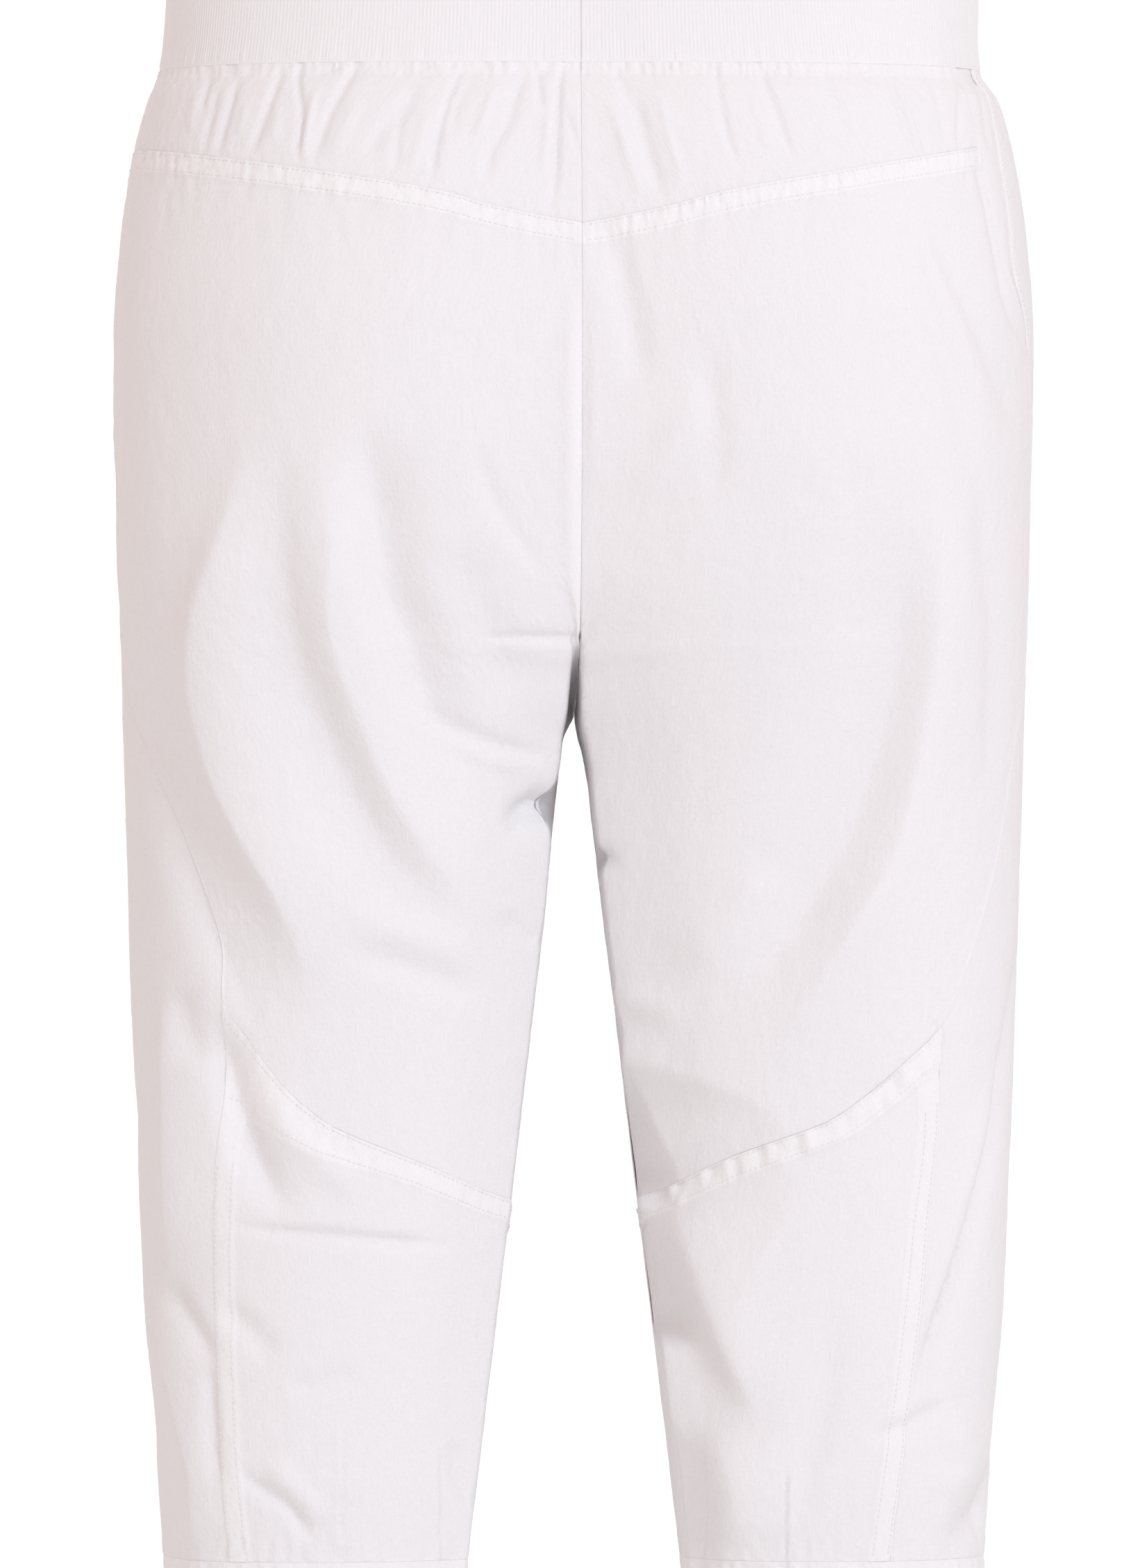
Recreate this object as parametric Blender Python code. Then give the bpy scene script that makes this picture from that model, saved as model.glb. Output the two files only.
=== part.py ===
"""Capri pants in white crinkled cotton, pull-on, filled out as if worn.

The frame has +Z up, the front of the garment towards -Y and its left side towards +X.
The origin is the middle of the waist opening, level with the waistband's top edge.
Lengths in the tables are millimetres, and become metres when a mesh is made.

The cloth lies on one form, half_form, which covers the left half of the garment.
A place on it has two numbers. "around" runs from 0 at the back edge (the seat seam, and
below the crotch the inseam) over 0.25 at the back crest, 0.5 at the side and 0.75 at the
front crest to 1 at the front edge. "below" is the drop from the waistband's top edge.
Each panel is a grid of such places, and its wall is the form moved out by the relief of
the folds and moved in by the cloth's thickness. The right half is the mirrored form with
its own seams and folds.
"""

import bpy
import bmesh
import numpy as np

METRES = 0.001

CLOTH = 1.2              # thickness of a cotton panel
KNIT = 1.8               # thickness of the ribbed waistband between its ribs
HEM_CLOTH = 1.8          # turned cloth of a hem band
GAP = 0.3                # clearance between two pieces at a seam

WAIST_SEAM = 60.0        # drop of the seam under the waistband
HEM_SEAM = 853.0         # drop of the seam above the hem band
HEM_EDGE = 871.0         # drop of the lowest edge
CROTCH = 385.0           # "below" of the row that closes into a leg
KNEE_SEAM_END = 671.0    # drop of the curved seam's end at the inseam

RIB_PITCH = 2.04         # waistband ribs, from crest to crest
RIB_HEIGHT = 0.35
RIBS_PER_INNER_STEP = 6  # the plain inside needs fewer points than the ribs

BAND_WIDTH = 11.0        # turned seam allowance, stitched flat beside its seam
BAND_STEP = 1.6          # width of the band's edge
BAND_RISE = 0.5          # how far the doubled cloth stands proud

FULLNESS = 0.05          # how far each outer quarter bulges past an ellipse
INNER_FULLNESS = 0.11    # the same for the inner quarters, between the legs


def table(columns, rows):
    """A short table as one array for each named column."""
    values = np.array(rows, dtype=float)
    return {name: values[:, i] for i, name in enumerate(columns.split())}


# One row for each level. Crests are the fullest lines of the back and the front.
# Edges are the seat seam and the centre front seam down to the crotch, then the inseam.
# A cleft of 0 lets the two halves run flat into each other, 1 closes a leg.
LEVELS = table(
    "below inner_x outer_x back_x back_y front_x front_y middle_y "
    "back_edge_y back_edge_drop front_edge_y front_edge_drop cleft",
    [
        (0, 0, 216, 50, 119, 50, -121, 0, 117, 0, -119, 0, 0),
        (60, 0, 221.5, 55, 125, 55, -126, 0, 123, 60, -124, 60, 0),
        (75, 0, 227.5, 62, 133, 60, -133, 0, 130, 75, -131, 75, 0),
        (100, 0, 234.5, 70, 141, 65, -139, 0, 137, 100, -136, 100, 0),
        (150, 0, 242.5, 85, 151, 72, -142, 0, 145, 150, -138, 150, 0.02),
        (200, 0, 246, 95, 157, 80, -140, 0, 149, 200, -135, 200, 0.05),
        (250, 0, 245.5, 100, 157, 86, -135, 0, 147, 250, -128, 250, 0.1),
        (300, 0, 244.2, 106, 151, 92, -128, 0, 139, 300, -117, 300, 0.2),
        (330, 0, 243.5, 110, 146, 98, -124, 0, 133, 331, -105, 331, 0.3),
        (350, 0, 243, 114, 141, 104, -121, 0, 124, 353, -89, 354, 0.5),
        (365, 0, 242.5, 117, 136, 109, -119, 0, 104, 372, -68, 374, 0.7),
        (377, 0.2, 242.2, 119, 132, 113, -118, 0, 60, 390, -40, 391, 0.88),
        (385, 0.7, 242, 121, 129, 117, -117, -2, -2, 403, -2, 403, 1),
        (411, 4.2, 241.2, 122, 124, 121, -115, -2, -2, 422, -2, 422, 1),
        (437, 7.4, 240.4, 123, 120, 123, -113, -2, -2, 443, -2, 443, 1),
        (463, 10.4, 239.6, 124, 117, 124, -112, -2, -2, 466, -2, 466, 1),
        (515, 16.4, 238.2, 126, 111, 126, -108, 0, 0, 515, 0, 515, 1),
        (567, 22.7, 236.4, 129, 106, 129, -103, 2, 2, 567, 2, 567, 1),
        (619, 28.8, 234.4, 131, 102, 131, -97, 4, 4, 619, 4, 619, 1),
        (671, 35, 232, 133, 100, 133, -91, 6, 6, 671, 6, 671, 1),
        (723, 41.3, 229.4, 135, 98, 135, -86, 7, 7, 723, 7, 723, 1),
        (775, 47.6, 225, 137, 95, 137, -82, 7, 7, 775, 7, 775, 1),
        (827, 53.8, 221.3, 138, 92, 138, -79, 7, 7, 827, 7, 827, 1),
        (853, 57, 219.5, 138.5, 91, 138.5, -78, 7, 7, 853, 7, 853, 1),
        (871, 58.4, 218.6, 138.5, 90, 138.5, -78, 7, 7, 871, 7, 871, 1),
    ])

# The V-shaped seam under the back yoke: distance from the seat seam, and drop.
YOKE_SEAM = table(
    "across below",
    [(0, 145.5), (25, 141), (50, 135.5), (70, 130), (140, 117.5), (200, 108), (240, 102)])
YOKE_SEAM_SIDE = 103.0   # drop of the yoke seam's outer end

# The long seam from the waist down the side, then curving over the back of the leg to
# the inseam. One row for each station, and one pair of columns for each leg.
LONG_SEAM = table(
    "left_around left_below right_around right_below",
    [
        (0.505, 60, 0.413, 60),
        (0.505, 103, 0.404, 103),
        (0.505, 163, 0.410, 163),
        (0.504, 215, 0.446, 210),
        (0.502, 300, 0.467, 285),
        (0.478, 372, 0.461, 370),
        (0.418, 425, 0.431, 420),
        (0.366, 487, 0.399, 487),
        (0.343, 531, 0.366, 541),
        (0.340, 553, 0.344, 569),
        (0.314, 580, 0.314, 588),
        (0.276, 609, 0.262, 615),
        (0.200, 640, 0.200, 636),
        (0.127, 660, 0.131, 658),
        (0.000, 671, 0.000, 671),
    ])
YOKE_STATION = 1         # row of LONG_SEAM where the yoke seam ends
JUNCTION_STATION = 9     # row of LONG_SEAM where the vertical seam starts

# The vertical seam from the long seam down to the hem.
VERTICAL_SEAM = table(
    "left_around left_below right_around right_below",
    [
        (0.340, 553, 0.344, 569),
        (0.340, 606, 0.343, 622),
        (0.345, 645, 0.336, 665),
        (0.349, 715, 0.326, 735),
        (0.348, 790, 0.314, 800),
        (0.341, 853, 0.302, 853),
    ])
AROUND_REACH = 800.0     # rough length of the way once around a half, to space stations

# The pocket mouth runs from the waist seam down to the side seam, a little open.
MOUTH_FOOT = 206.0       # drop of the mouth's lower end
MOUTH_WIDTH = 26.0       # from the side seam to the mouth's front edge at the waist seam
POCKET_LAP = 8.0         # how far the hip piece reaches under its neighbours
POCKET_SINK = 2.6        # how far the hip piece lies under its neighbours' outer faces

# The largest folds: leg, face, height (negative is a trough), half-width, then the
# route as pairs of distance from the seat seam and drop.
FOLDS = [
    ("left", "back", -8.0, 17, ((145, 262), (146, 320), (139, 378), (122, 424), (101, 458), (72, 496))),
    ("left", "back", -6.5, 15, ((101, 277), (80, 315), (63, 357), (55, 405))),
    ("left", "back", 6.0, 16, ((165, 280), (178, 378), (160, 440), (125, 490), (80, 530))),
    ("left", "back", 5.0, 15, ((124, 285), (118, 360), (95, 405), (60, 425), (25, 440))),
    ("left", "back", -6.0, 18, ((206, 300), (205, 380), (196, 440), (170, 500), (148, 542))),
    ("left", "back", -5.0, 12, ((172, 600), (158, 645), (140, 668), (112, 676), (80, 683))),
    ("left", "back", -4.5, 14, ((217, 700), (207, 759), (196, 835))),
    ("right", "back", -8.0, 17, ((183, 265), (187, 336), (182, 399), (165, 449), (143, 493), (98, 553))),
    ("right", "back", 5.0, 16, ((207, 300), (212, 380), (205, 450), (180, 505))),
    ("right", "back", -5.0, 20, ((28, 395), (47, 445), (50, 490), (38, 545))),
    ("right", "back", -4.0, 12, ((166, 145), (190, 231), (212, 340))),
    ("right", "back", -6.0, 16, ((52, 685), (66, 735), (70, 780), (68, 830))),
    ("right", "back", 4.0, 14, ((92, 680), (102, 745), (98, 800))),
    ("right", "back", -4.5, 10, ((226, 575), (212, 650), (196, 705), (178, 752), (176, 790))),
    ("left", "front", -6.0, 16, ((40, 350), (80, 385), (135, 420), (190, 440))),
    ("left", "front", -5.0, 15, ((60, 420), (105, 460), (150, 520), (170, 590))),
    ("left", "front", 4.5, 16, ((70, 390), (120, 435), (165, 480))),
    ("left", "front", -4.5, 15, ((75, 600), (120, 640), (170, 655))),
    ("right", "front", -6.0, 16, ((35, 355), (85, 380), (140, 425), (185, 460))),
    ("right", "front", -5.0, 15, ((70, 430), (100, 480), (135, 530), (145, 600))),
    ("right", "front", 4.5, 16, ((80, 400), (125, 445), (160, 500))),
    ("right", "front", -4.5, 15, ((85, 620), (130, 645), (175, 670))),
]
FOLD_TAPER = 0.3         # share of a fold's length over which each end fades out

# Gathers of the back yoke: distance of each trough from the seat seam at the waist seam
# and at the yoke seam, its depth, half-width and length.
LEFT_GATHERS = table(
    "top foot depth width reach",
    [
        (14, 18, 2.6, 4.0, 85), (33, 45, 2.4, 4.5, 75), (50, 66, 2.6, 4.5, 70),
        (68, 88, 2.2, 4.5, 62), (86, 104, 2.6, 4.5, 60), (104, 124, 2.2, 4.5, 55),
        (121, 143, 2.6, 4.5, 55), (138, 154, 2.2, 4.0, 50), (153, 166, 2.6, 4.0, 50),
        (168, 179, 2.2, 4.0, 46), (183, 193, 2.4, 3.5, 44), (198, 206, 2.2, 3.0, 40),
        (210, 216, 1.8, 2.5, 36),
    ])
RIGHT_GATHERS = table(
    "top foot depth width reach",
    [
        (12, 15, 1.8, 4.0, 60), (26, 31, 2.4, 4.5, 60), (44, 52, 3.0, 6.5, 90),
        (62, 70, 1.8, 4.5, 50), (80, 86, 1.6, 5.0, 45), (98, 108, 2.2, 5.0, 58),
        (118, 126, 1.6, 5.0, 45), (137, 147, 2.2, 5.0, 55), (157, 163, 1.6, 4.5, 45),
        (174, 181, 2.2, 4.0, 52), (190, 196, 2.0, 3.5, 46), (203, 207, 2.0, 3.0, 44),
    ])
FRONT_GATHERS = 12       # troughs on each half of the hidden front
HEM_WAVES = 24           # shallow waves of one hem band
HEM_WAVE_HEIGHT = 0.7

# Grid of the panels: numbers of steps across and down.
YOKE_ROWS = 4
CROTCH_ROWS = 12         # from the yoke seam to the crotch along the seat seam
INSEAM_ROWS = 9          # from the crotch to the curved seam
LOWER_ROWS = 9           # from the curved seam to the hem seam
BACK_COLUMNS = 14
FRONT_COLUMNS = 12
YOKE_COLUMNS = 56
GATHER_ROWS = 3          # finely divided rows at the top of the front
HEM_COLUMNS = 72


def smooth_step(value):
    """0 below 0, 1 above 1, with level ends between."""
    value = np.clip(value, 0.0, 1.0)
    return value * value * (3.0 - 2.0 * value)


def smooth_between(at, knots, values):
    """Cubic curve through a table's rows that never overshoots them.

    The slope at a row is the weighted harmonic mean of its two neighbours' slopes, or
    level where they turn.
    """
    step = np.diff(knots)
    slope = np.diff(values) / step
    tangent = np.zeros(len(knots))
    tangent[0] = slope[0]
    tangent[-1] = slope[-1]
    same_way = slope[:-1] * slope[1:] > 0
    before = slope[:-1][same_way]
    after = slope[1:][same_way]
    weight_before = (2 * step[1:] + step[:-1])[same_way]
    weight_after = (step[1:] + 2 * step[:-1])[same_way]
    inner = np.zeros(len(knots) - 2)
    inner[same_way] = (weight_before + weight_after) / (weight_before / before + weight_after / after)
    tangent[1:-1] = inner

    at = np.clip(at, knots[0], knots[-1])
    index = np.clip(np.searchsorted(knots, at, side="right") - 1, 0, len(knots) - 2)
    width = step[index]
    share = (at - knots[index]) / width
    rise = values[index + 1] - values[index]
    blend = share * share * (3 - 2 * share)
    start = share * (1 - share) ** 2 * width * tangent[index]
    end = -share * share * (1 - share) * width * tangent[index + 1]
    return values[index] + rise * blend + start + end


def half_form(around, below):
    """Points of the left half's plain form.

    Each half of a level, back or front, has an outer quarter, a bulged quarter of an
    ellipse from the crest to the side line, and an inner quarter from the edge to the
    crest, which turns from a level run in the torso to a quarter ellipse in the leg.
    """
    around, below = np.broadcast_arrays(np.asarray(around, float), np.asarray(below, float))
    level = {name: smooth_between(below, LEVELS["below"], LEVELS[name]) for name in LEVELS}
    is_back = around < 0.5
    from_edge = np.where(is_back, around, 1.0 - around) * 4.0
    crest_x = np.where(is_back, level["back_x"], level["front_x"])
    crest_y = np.where(is_back, level["back_y"], level["front_y"])
    edge_y = np.where(is_back, level["back_edge_y"], level["front_edge_y"])
    edge_drop = np.where(is_back, level["back_edge_drop"], level["front_edge_drop"])

    turn = np.clip(from_edge - 1.0, 0.0, 1.0) * np.pi / 2
    bulge = 1.0 + FULLNESS * np.sin(2 * turn) ** 2
    outer_x = crest_x + (level["outer_x"] - crest_x) * np.sin(turn) * bulge
    outer_y = level["middle_y"] + (crest_y - level["middle_y"]) * np.cos(turn) * bulge

    run = np.clip(from_edge, 0.0, 1.0)
    turn = run * np.pi / 2
    bulge = 1.0 + INNER_FULLNESS * np.sin(2 * turn) ** 2
    round_x = crest_x - (crest_x - level["inner_x"]) * np.cos(turn) * bulge
    round_y = edge_y + (crest_y - edge_y) * np.sin(turn) * bulge
    flat_x = level["inner_x"] + (crest_x - level["inner_x"]) * run
    flat_y = edge_y + (crest_y - edge_y) * smooth_step(run)
    inner_x = flat_x + (round_x - flat_x) * level["cleft"]
    inner_y = flat_y + (round_y - flat_y) * level["cleft"]

    is_outer = from_edge > 1.0
    x = np.where(is_outer, outer_x, inner_x)
    y = np.where(is_outer, outer_y, inner_y)
    drop = below + (edge_drop - below) * (1.0 - smooth_step(run))
    return np.stack([x, y, -drop], axis=-1)


def half_normal(around, below):
    """Outward unit normals of the form, from small steps along both directions."""
    step_around = 0.002
    step_below = 0.5
    along = half_form(np.minimum(around + step_around, 1.0), below)
    along = along - half_form(np.maximum(around - step_around, 0.0), below)
    down = half_form(around, np.minimum(below + step_below, HEM_EDGE))
    down = down - half_form(around, np.maximum(below - step_below, 0.0))
    normal = np.cross(along, down)
    return normal / np.maximum(np.linalg.norm(normal, axis=-1, keepdims=True), 1e-9)


def curve_through(points, count):
    """Points at equal spacing on a smooth curve through a few given ones."""
    points = np.asarray(points, float)
    length = np.concatenate([[0], np.cumsum(np.linalg.norm(np.diff(points, axis=0), axis=1))])
    at = np.linspace(0, length[-1], count)
    return np.stack([smooth_between(at, length, points[:, i]) for i in range(2)], axis=-1)


def fold_height(across, below, route, half_width):
    """Height from 0 to 1 of a fold: a bell across its route, faded at both ends."""
    path = curve_through(route, 25)
    start = path[:-1]
    run = path[1:] - start
    place = np.stack([across, below], axis=-1)[..., None, :]
    share = np.sum((place - start) * run, axis=-1) / np.sum(run * run, axis=-1)
    share = np.clip(share, 0.0, 1.0)
    away = np.linalg.norm(place - (start + share[..., None] * run), axis=-1)
    nearest = np.argmin(away, axis=-1)[..., None]
    distance = np.take_along_axis(away, nearest, axis=-1)[..., 0]
    along = (nearest[..., 0] + np.take_along_axis(share, nearest, axis=-1)[..., 0]) / len(start)
    ends = smooth_step(along / FOLD_TAPER) * smooth_step((1 - along) / FOLD_TAPER)
    return np.exp(-(distance / half_width) ** 2) * ends


def gather_height(across, below, gathers):
    """Depth of the gathers: each trough starts shallow at the seam, deepens and fades."""
    drop = below - WAIST_SEAM
    total = np.zeros_like(across)
    for top, foot, depth, width, reach in zip(*gathers.values()):
        middle = top + (foot - top) * drop / 70.0
        growth = 0.35 + 0.65 * smooth_step(drop / 15.0)
        fade = 1.0 - smooth_step((drop - 0.35 * reach) / (0.65 * reach))
        total -= depth * np.exp(-((across - middle) / width) ** 2) * growth * fade
    return total


def front_gathers():
    """Gathers of the hidden front: evenly spaced with a little unevenness."""
    rows = []
    for i in range(FRONT_GATHERS):
        top = 10 + 17.0 * i + 3.0 * np.sin(2.1 * i)
        lean = 4.0 + 3.0 * np.sin(1.3 * i)
        depth = 2.2 + 0.5 * np.sin(2.7 * i)
        width = 4.6 - 0.12 * i
        reach = 52 + 14 * np.sin(1.9 * i)
        rows.append((top, top + lean, depth, width, reach))
    return table("top foot depth width reach", rows)


def relief(side, around, below):
    """How far the cloth stands off the plain form, in or out."""
    base = half_form(around, below)
    facing = half_normal(around, below)[..., 1]
    across = base[..., 0]
    drop = -base[..., 2]
    on_face = {"back": smooth_step(facing / 0.35), "front": smooth_step(-facing / 0.35)}
    total = np.zeros_like(across)
    for fold_side, face, height, half_width, route in FOLDS:
        if fold_side == side:
            total += height * fold_height(across, drop, route, half_width) * on_face[face]
    back = LEFT_GATHERS if side == "left" else RIGHT_GATHERS
    total += gather_height(across, drop, back) * on_face["back"]
    total += gather_height(across, drop, front_gathers()) * on_face["front"]
    return total


def around_at(across, below):
    """The place around the back half whose distance from the seat seam is given."""
    samples = np.linspace(0.0, 0.5, 201)
    return np.array([
        np.interp(a, half_form(samples, b)[:, 0], samples)
        for a, b in zip(np.ravel(across), np.ravel(below))])


def evenly_placed(around, below, count):
    """Places on a line at equal distances along the form; count is the number of steps."""
    points = half_form(around, below)
    length = np.concatenate([[0], np.cumsum(np.linalg.norm(np.diff(points, axis=0), axis=1))])
    at = np.linspace(0, length[-1], count + 1)
    return np.interp(at, length, around), np.interp(at, length, below)


def placed_at(around, below, distances):
    """Places on a line at the given distances from its start."""
    points = half_form(around, below)
    length = np.concatenate([[0], np.cumsum(np.linalg.norm(np.diff(points, axis=0), axis=1))])
    return np.interp(distances, length, around), np.interp(distances, length, below)


def line_length(around, below):
    points = half_form(around, below)
    return np.sum(np.linalg.norm(np.diff(points, axis=0), axis=1))


def seam_line(rows, side, first, last):
    """A seam of one leg as fine places between two of its stations."""
    around = rows[side + "_around"]
    below = rows[side + "_below"]
    steps = np.hypot(np.diff(around) * AROUND_REACH, np.diff(below))
    length = np.concatenate([[0], np.cumsum(steps)])
    at = np.linspace(length[first], length[last], 121)
    return smooth_between(at, length, around), smooth_between(at, length, below)


def edge_line(around, start, end):
    """A stretch of the seat seam, front seam or inseam as fine places."""
    below = np.linspace(start, end, 121)
    return np.full_like(below, around), below


def with_band(length, rows):
    """Distances down a panel: the band's edge and foot first, then even rows."""
    edge = BAND_WIDTH
    foot = BAND_WIDTH + BAND_STEP
    rest = np.linspace(foot, length, rows - 1)
    return np.concatenate([[0.0, edge], rest])


def side_rows(side):
    """Places of every row's end on the outer seams: yoke, upper and lower rows."""
    yoke = evenly_placed(*seam_line(LONG_SEAM, side, 0, YOKE_STATION), YOKE_ROWS)
    line = seam_line(LONG_SEAM, side, YOKE_STATION, JUNCTION_STATION)
    upper = placed_at(*line, with_band(line_length(*line), CROTCH_ROWS + INSEAM_ROWS))
    line = seam_line(VERTICAL_SEAM, side, 0, len(VERTICAL_SEAM["left_below"]) - 1)
    lower = placed_at(*line, with_band(line_length(*line), LOWER_ROWS))
    return yoke, upper, lower


def seat_rows():
    """Places of the upper back's rows on the seat seam and the inseam."""
    seat = edge_line(0.0, YOKE_SEAM["below"][0], CROTCH)
    around_1, below_1 = placed_at(*seat, with_band(line_length(*seat), CROTCH_ROWS))
    around_2, below_2 = evenly_placed(*edge_line(0.0, CROTCH, KNEE_SEAM_END), INSEAM_ROWS)
    return np.concatenate([around_1, around_2[1:]]), np.concatenate([below_1, below_2[1:]])


def inseam_lower_rows():
    """Places of the lower rows on the inseam."""
    line = edge_line(0.0, KNEE_SEAM_END, HEM_SEAM)
    return placed_at(*line, with_band(line_length(*line), LOWER_ROWS))


def row_between(start, end, count):
    """One row of places from start to end, evenly spaced on the form."""
    share = np.linspace(0, 1, 161)
    around = start[0] + (end[0] - start[0]) * share
    below = start[1] + (end[1] - start[1]) * share
    return evenly_placed(around, below, count)


def blended_rows(top, bottom, left, right, counts):
    """Rows of a four-sided panel between two given lines and two edges.

    Between the lines, a row is the blend of both lines, shifted at each end so that it
    meets the edges' places. The lines are (around, below) pairs of fine points.
    """
    rows = []
    steps = len(left[0]) - 1
    share = np.linspace(0, 1, len(top[0]))
    down = np.concatenate([[0], np.cumsum(np.abs(np.diff(left[1])) + np.abs(np.diff(right[1])))])
    down = down / down[-1]
    for j in range(steps + 1):
        line = []
        for axis in range(2):
            mixed = top[axis] + (bottom[axis] - top[axis]) * down[j]
            miss_left = left[axis][j] - mixed[0]
            miss_right = right[axis][j] - mixed[-1]
            line.append(mixed + miss_left * (1 - share) + miss_right * share)
        rows.append(evenly_placed(line[0], line[1], counts[j]))
    return rows


def wall_points(side, rows, outward, raised=None):
    """Outer and inner points of a panel's rows.

    The outward shift moves the whole wall off the form. "raised" gives the extra height
    of the outer points of each row, for a stitched band.
    """
    outer = []
    inner = []
    for j, (around, below) in enumerate(rows):
        base = half_form(around, below)
        normal = half_normal(around, below)
        height = relief(side, around, below) + outward
        lift = 0.0 if raised is None else raised[j]
        outer.append(base + normal * (height + lift)[:, None])
        inner.append(base + normal * (height - CLOTH)[:, None])
    return outer, inner


def moved_in(points, towards):
    """Edge points moved half a seam's gap towards their neighbours in the panel."""
    way = towards - points
    return points + way / np.linalg.norm(way, axis=-1, keepdims=True) * GAP / 2


def open_seams(outer, inner):
    """Draws a panel's four edges in by half a seam's gap and keeps it off the middle."""
    for rows in (outer, inner):
        for row in rows:
            row[0] = moved_in(row[0], row[1])
            row[-1] = moved_in(row[-1], row[-2])
        for j, k in ((0, 1), (-1, -2)):
            at = np.linspace(0, len(rows[k]) - 1, len(rows[j]))
            numbers = np.arange(len(rows[k]))
            towards = np.stack([np.interp(at, numbers, rows[k][:, i]) for i in range(3)], axis=-1)
            rows[j][:] = moved_in(rows[j], towards)
        for row in rows:
            row[:, 0] = np.maximum(row[:, 0], GAP / 2)


def flatten_edge(outer, inner, row, drop):
    """Puts one row of a wall on a level plane, where it meets a band or the waistband."""
    outer[row][:, 2] = -drop
    inner[row][:, 2] = -drop


def strip(upper, lower):
    """Faces between two rows of vertex numbers with equal, halved or doubled steps."""
    faces = []
    upper_steps = len(upper) - 1
    lower_steps = len(lower) - 1
    if upper_steps == lower_steps:
        for i in range(upper_steps):
            faces.append((upper[i], upper[i + 1], lower[i + 1], lower[i]))
    elif upper_steps == 2 * lower_steps:
        for i in range(lower_steps):
            faces.append((upper[2 * i], upper[2 * i + 1], lower[i]))
            faces.append((upper[2 * i + 1], lower[i + 1], lower[i]))
            faces.append((upper[2 * i + 1], upper[2 * i + 2], lower[i + 1]))
    else:
        raise ValueError("two rows differ by more than a factor of two")
    return faces


def new_object(name, points, faces, material):
    """A mesh object from points in millimetres, with its faces turned outwards."""
    mesh = bpy.data.meshes.new(name)
    mesh.from_pydata([tuple(p) for p in np.asarray(points) * METRES], [], faces)
    shape = bmesh.new()
    shape.from_mesh(mesh)
    bmesh.ops.recalc_face_normals(shape, faces=shape.faces)
    bmesh.ops.triangulate(shape, faces=shape.faces)
    shape.to_mesh(mesh)
    shape.free()
    mesh.shade_smooth()
    mesh.set_sharp_from_angle(angle=np.radians(50))
    mesh.materials.append(material)
    item = bpy.data.objects.new(name, mesh)
    bpy.context.scene.collection.objects.link(item)
    return item


def wall_object(name, side, outer, inner, material):
    """The closed wall between a panel's outer and inner rows."""
    mirror = np.array([1.0 if side == "left" else -1.0, 1.0, 1.0])
    points = []
    numbers = {"outer": [], "inner": []}
    for layer, rows in (("outer", outer), ("inner", inner)):
        for row in rows:
            numbers[layer].append(list(range(len(points), len(points) + len(row))))
            points.extend(row * mirror)
    faces = []
    for j in range(len(outer) - 1):
        faces += strip(numbers["outer"][j], numbers["outer"][j + 1])
        faces += [face[::-1] for face in strip(numbers["inner"][j], numbers["inner"][j + 1])]
    faces += strip(numbers["inner"][0], numbers["outer"][0])
    faces += strip(numbers["outer"][-1], numbers["inner"][-1])
    for column in (0, -1):
        outside = [row[column] for row in numbers["outer"]]
        inside = [row[column] for row in numbers["inner"]]
        side_faces = strip(inside, outside)
        faces += side_faces if column == -1 else [face[::-1] for face in side_faces]
    return new_object(name, points, faces, material)


def ring_object(name, outer, inner, material):
    """A closed ring from loops of outer points and loops of inner points.

    The outer loops may have several points for each inner one; the level end faces then
    span one inner step each.
    """
    points = np.concatenate(list(outer) + list(inner))
    many = len(outer[0])
    few = len(inner[0])
    ratio = many // few
    first_inner = many * len(outer)
    last_outer = many * (len(outer) - 1)
    last_inner = first_inner + few * (len(inner) - 1)
    faces = []
    for j in range(len(outer) - 1):
        for i in range(many):
            k = (i + 1) % many
            faces.append((j * many + i, j * many + k, (j + 1) * many + k, (j + 1) * many + i))
    for j in range(len(inner) - 1):
        start = first_inner + j * few
        for i in range(few):
            k = (i + 1) % few
            faces.append((start + k, start + i, start + few + i, start + few + k))
    for i in range(few):
        k = (i + 1) % few
        edge = [(i * ratio + n) % many for n in range(ratio + 1)]
        faces.append(tuple(edge[::-1]) + (first_inner + i, first_inner + k))
        faces.append(tuple(last_outer + n for n in edge) + (last_inner + k, last_inner + i))
    return new_object(name, points, faces, material)


def whole_loop(below, count):
    """Points and normals evenly spaced round both halves at one level.

    They run from the centre back over the left side and the front to the right side.
    """
    fine = np.linspace(0.0, 1.0, 801)
    level = np.full_like(fine, below)
    left = half_form(fine, level)
    left_normal = half_normal(fine, level)
    mirror = np.array([-1.0, 1.0, 1.0])
    loop = np.concatenate([left, left[-2::-1] * mirror])
    normal = np.concatenate([left_normal, left_normal[-2::-1] * mirror])
    length = np.concatenate([[0], np.cumsum(np.linalg.norm(np.diff(loop, axis=0), axis=1))])
    at = np.arange(count) / count * length[-1]
    points = np.stack([np.interp(at, length, loop[:, i]) for i in range(3)], axis=-1)
    normals = np.stack([np.interp(at, length, normal[:, i]) for i in range(3)], axis=-1)
    normals[:, 2] = 0
    normals /= np.linalg.norm(normals, axis=-1, keepdims=True)
    return points, normals, length[-1]


def cloth_material(name, colour, roughness):
    material = bpy.data.materials.new(name)
    material.use_nodes = True
    shader = material.node_tree.nodes["Principled BSDF"]
    shader.inputs["Base Color"].default_value = (*colour, 1.0)
    shader.inputs["Roughness"].default_value = roughness
    shader.inputs["Metallic"].default_value = 0.0
    material.diffuse_color = (*colour, 1.0)
    return material


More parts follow.
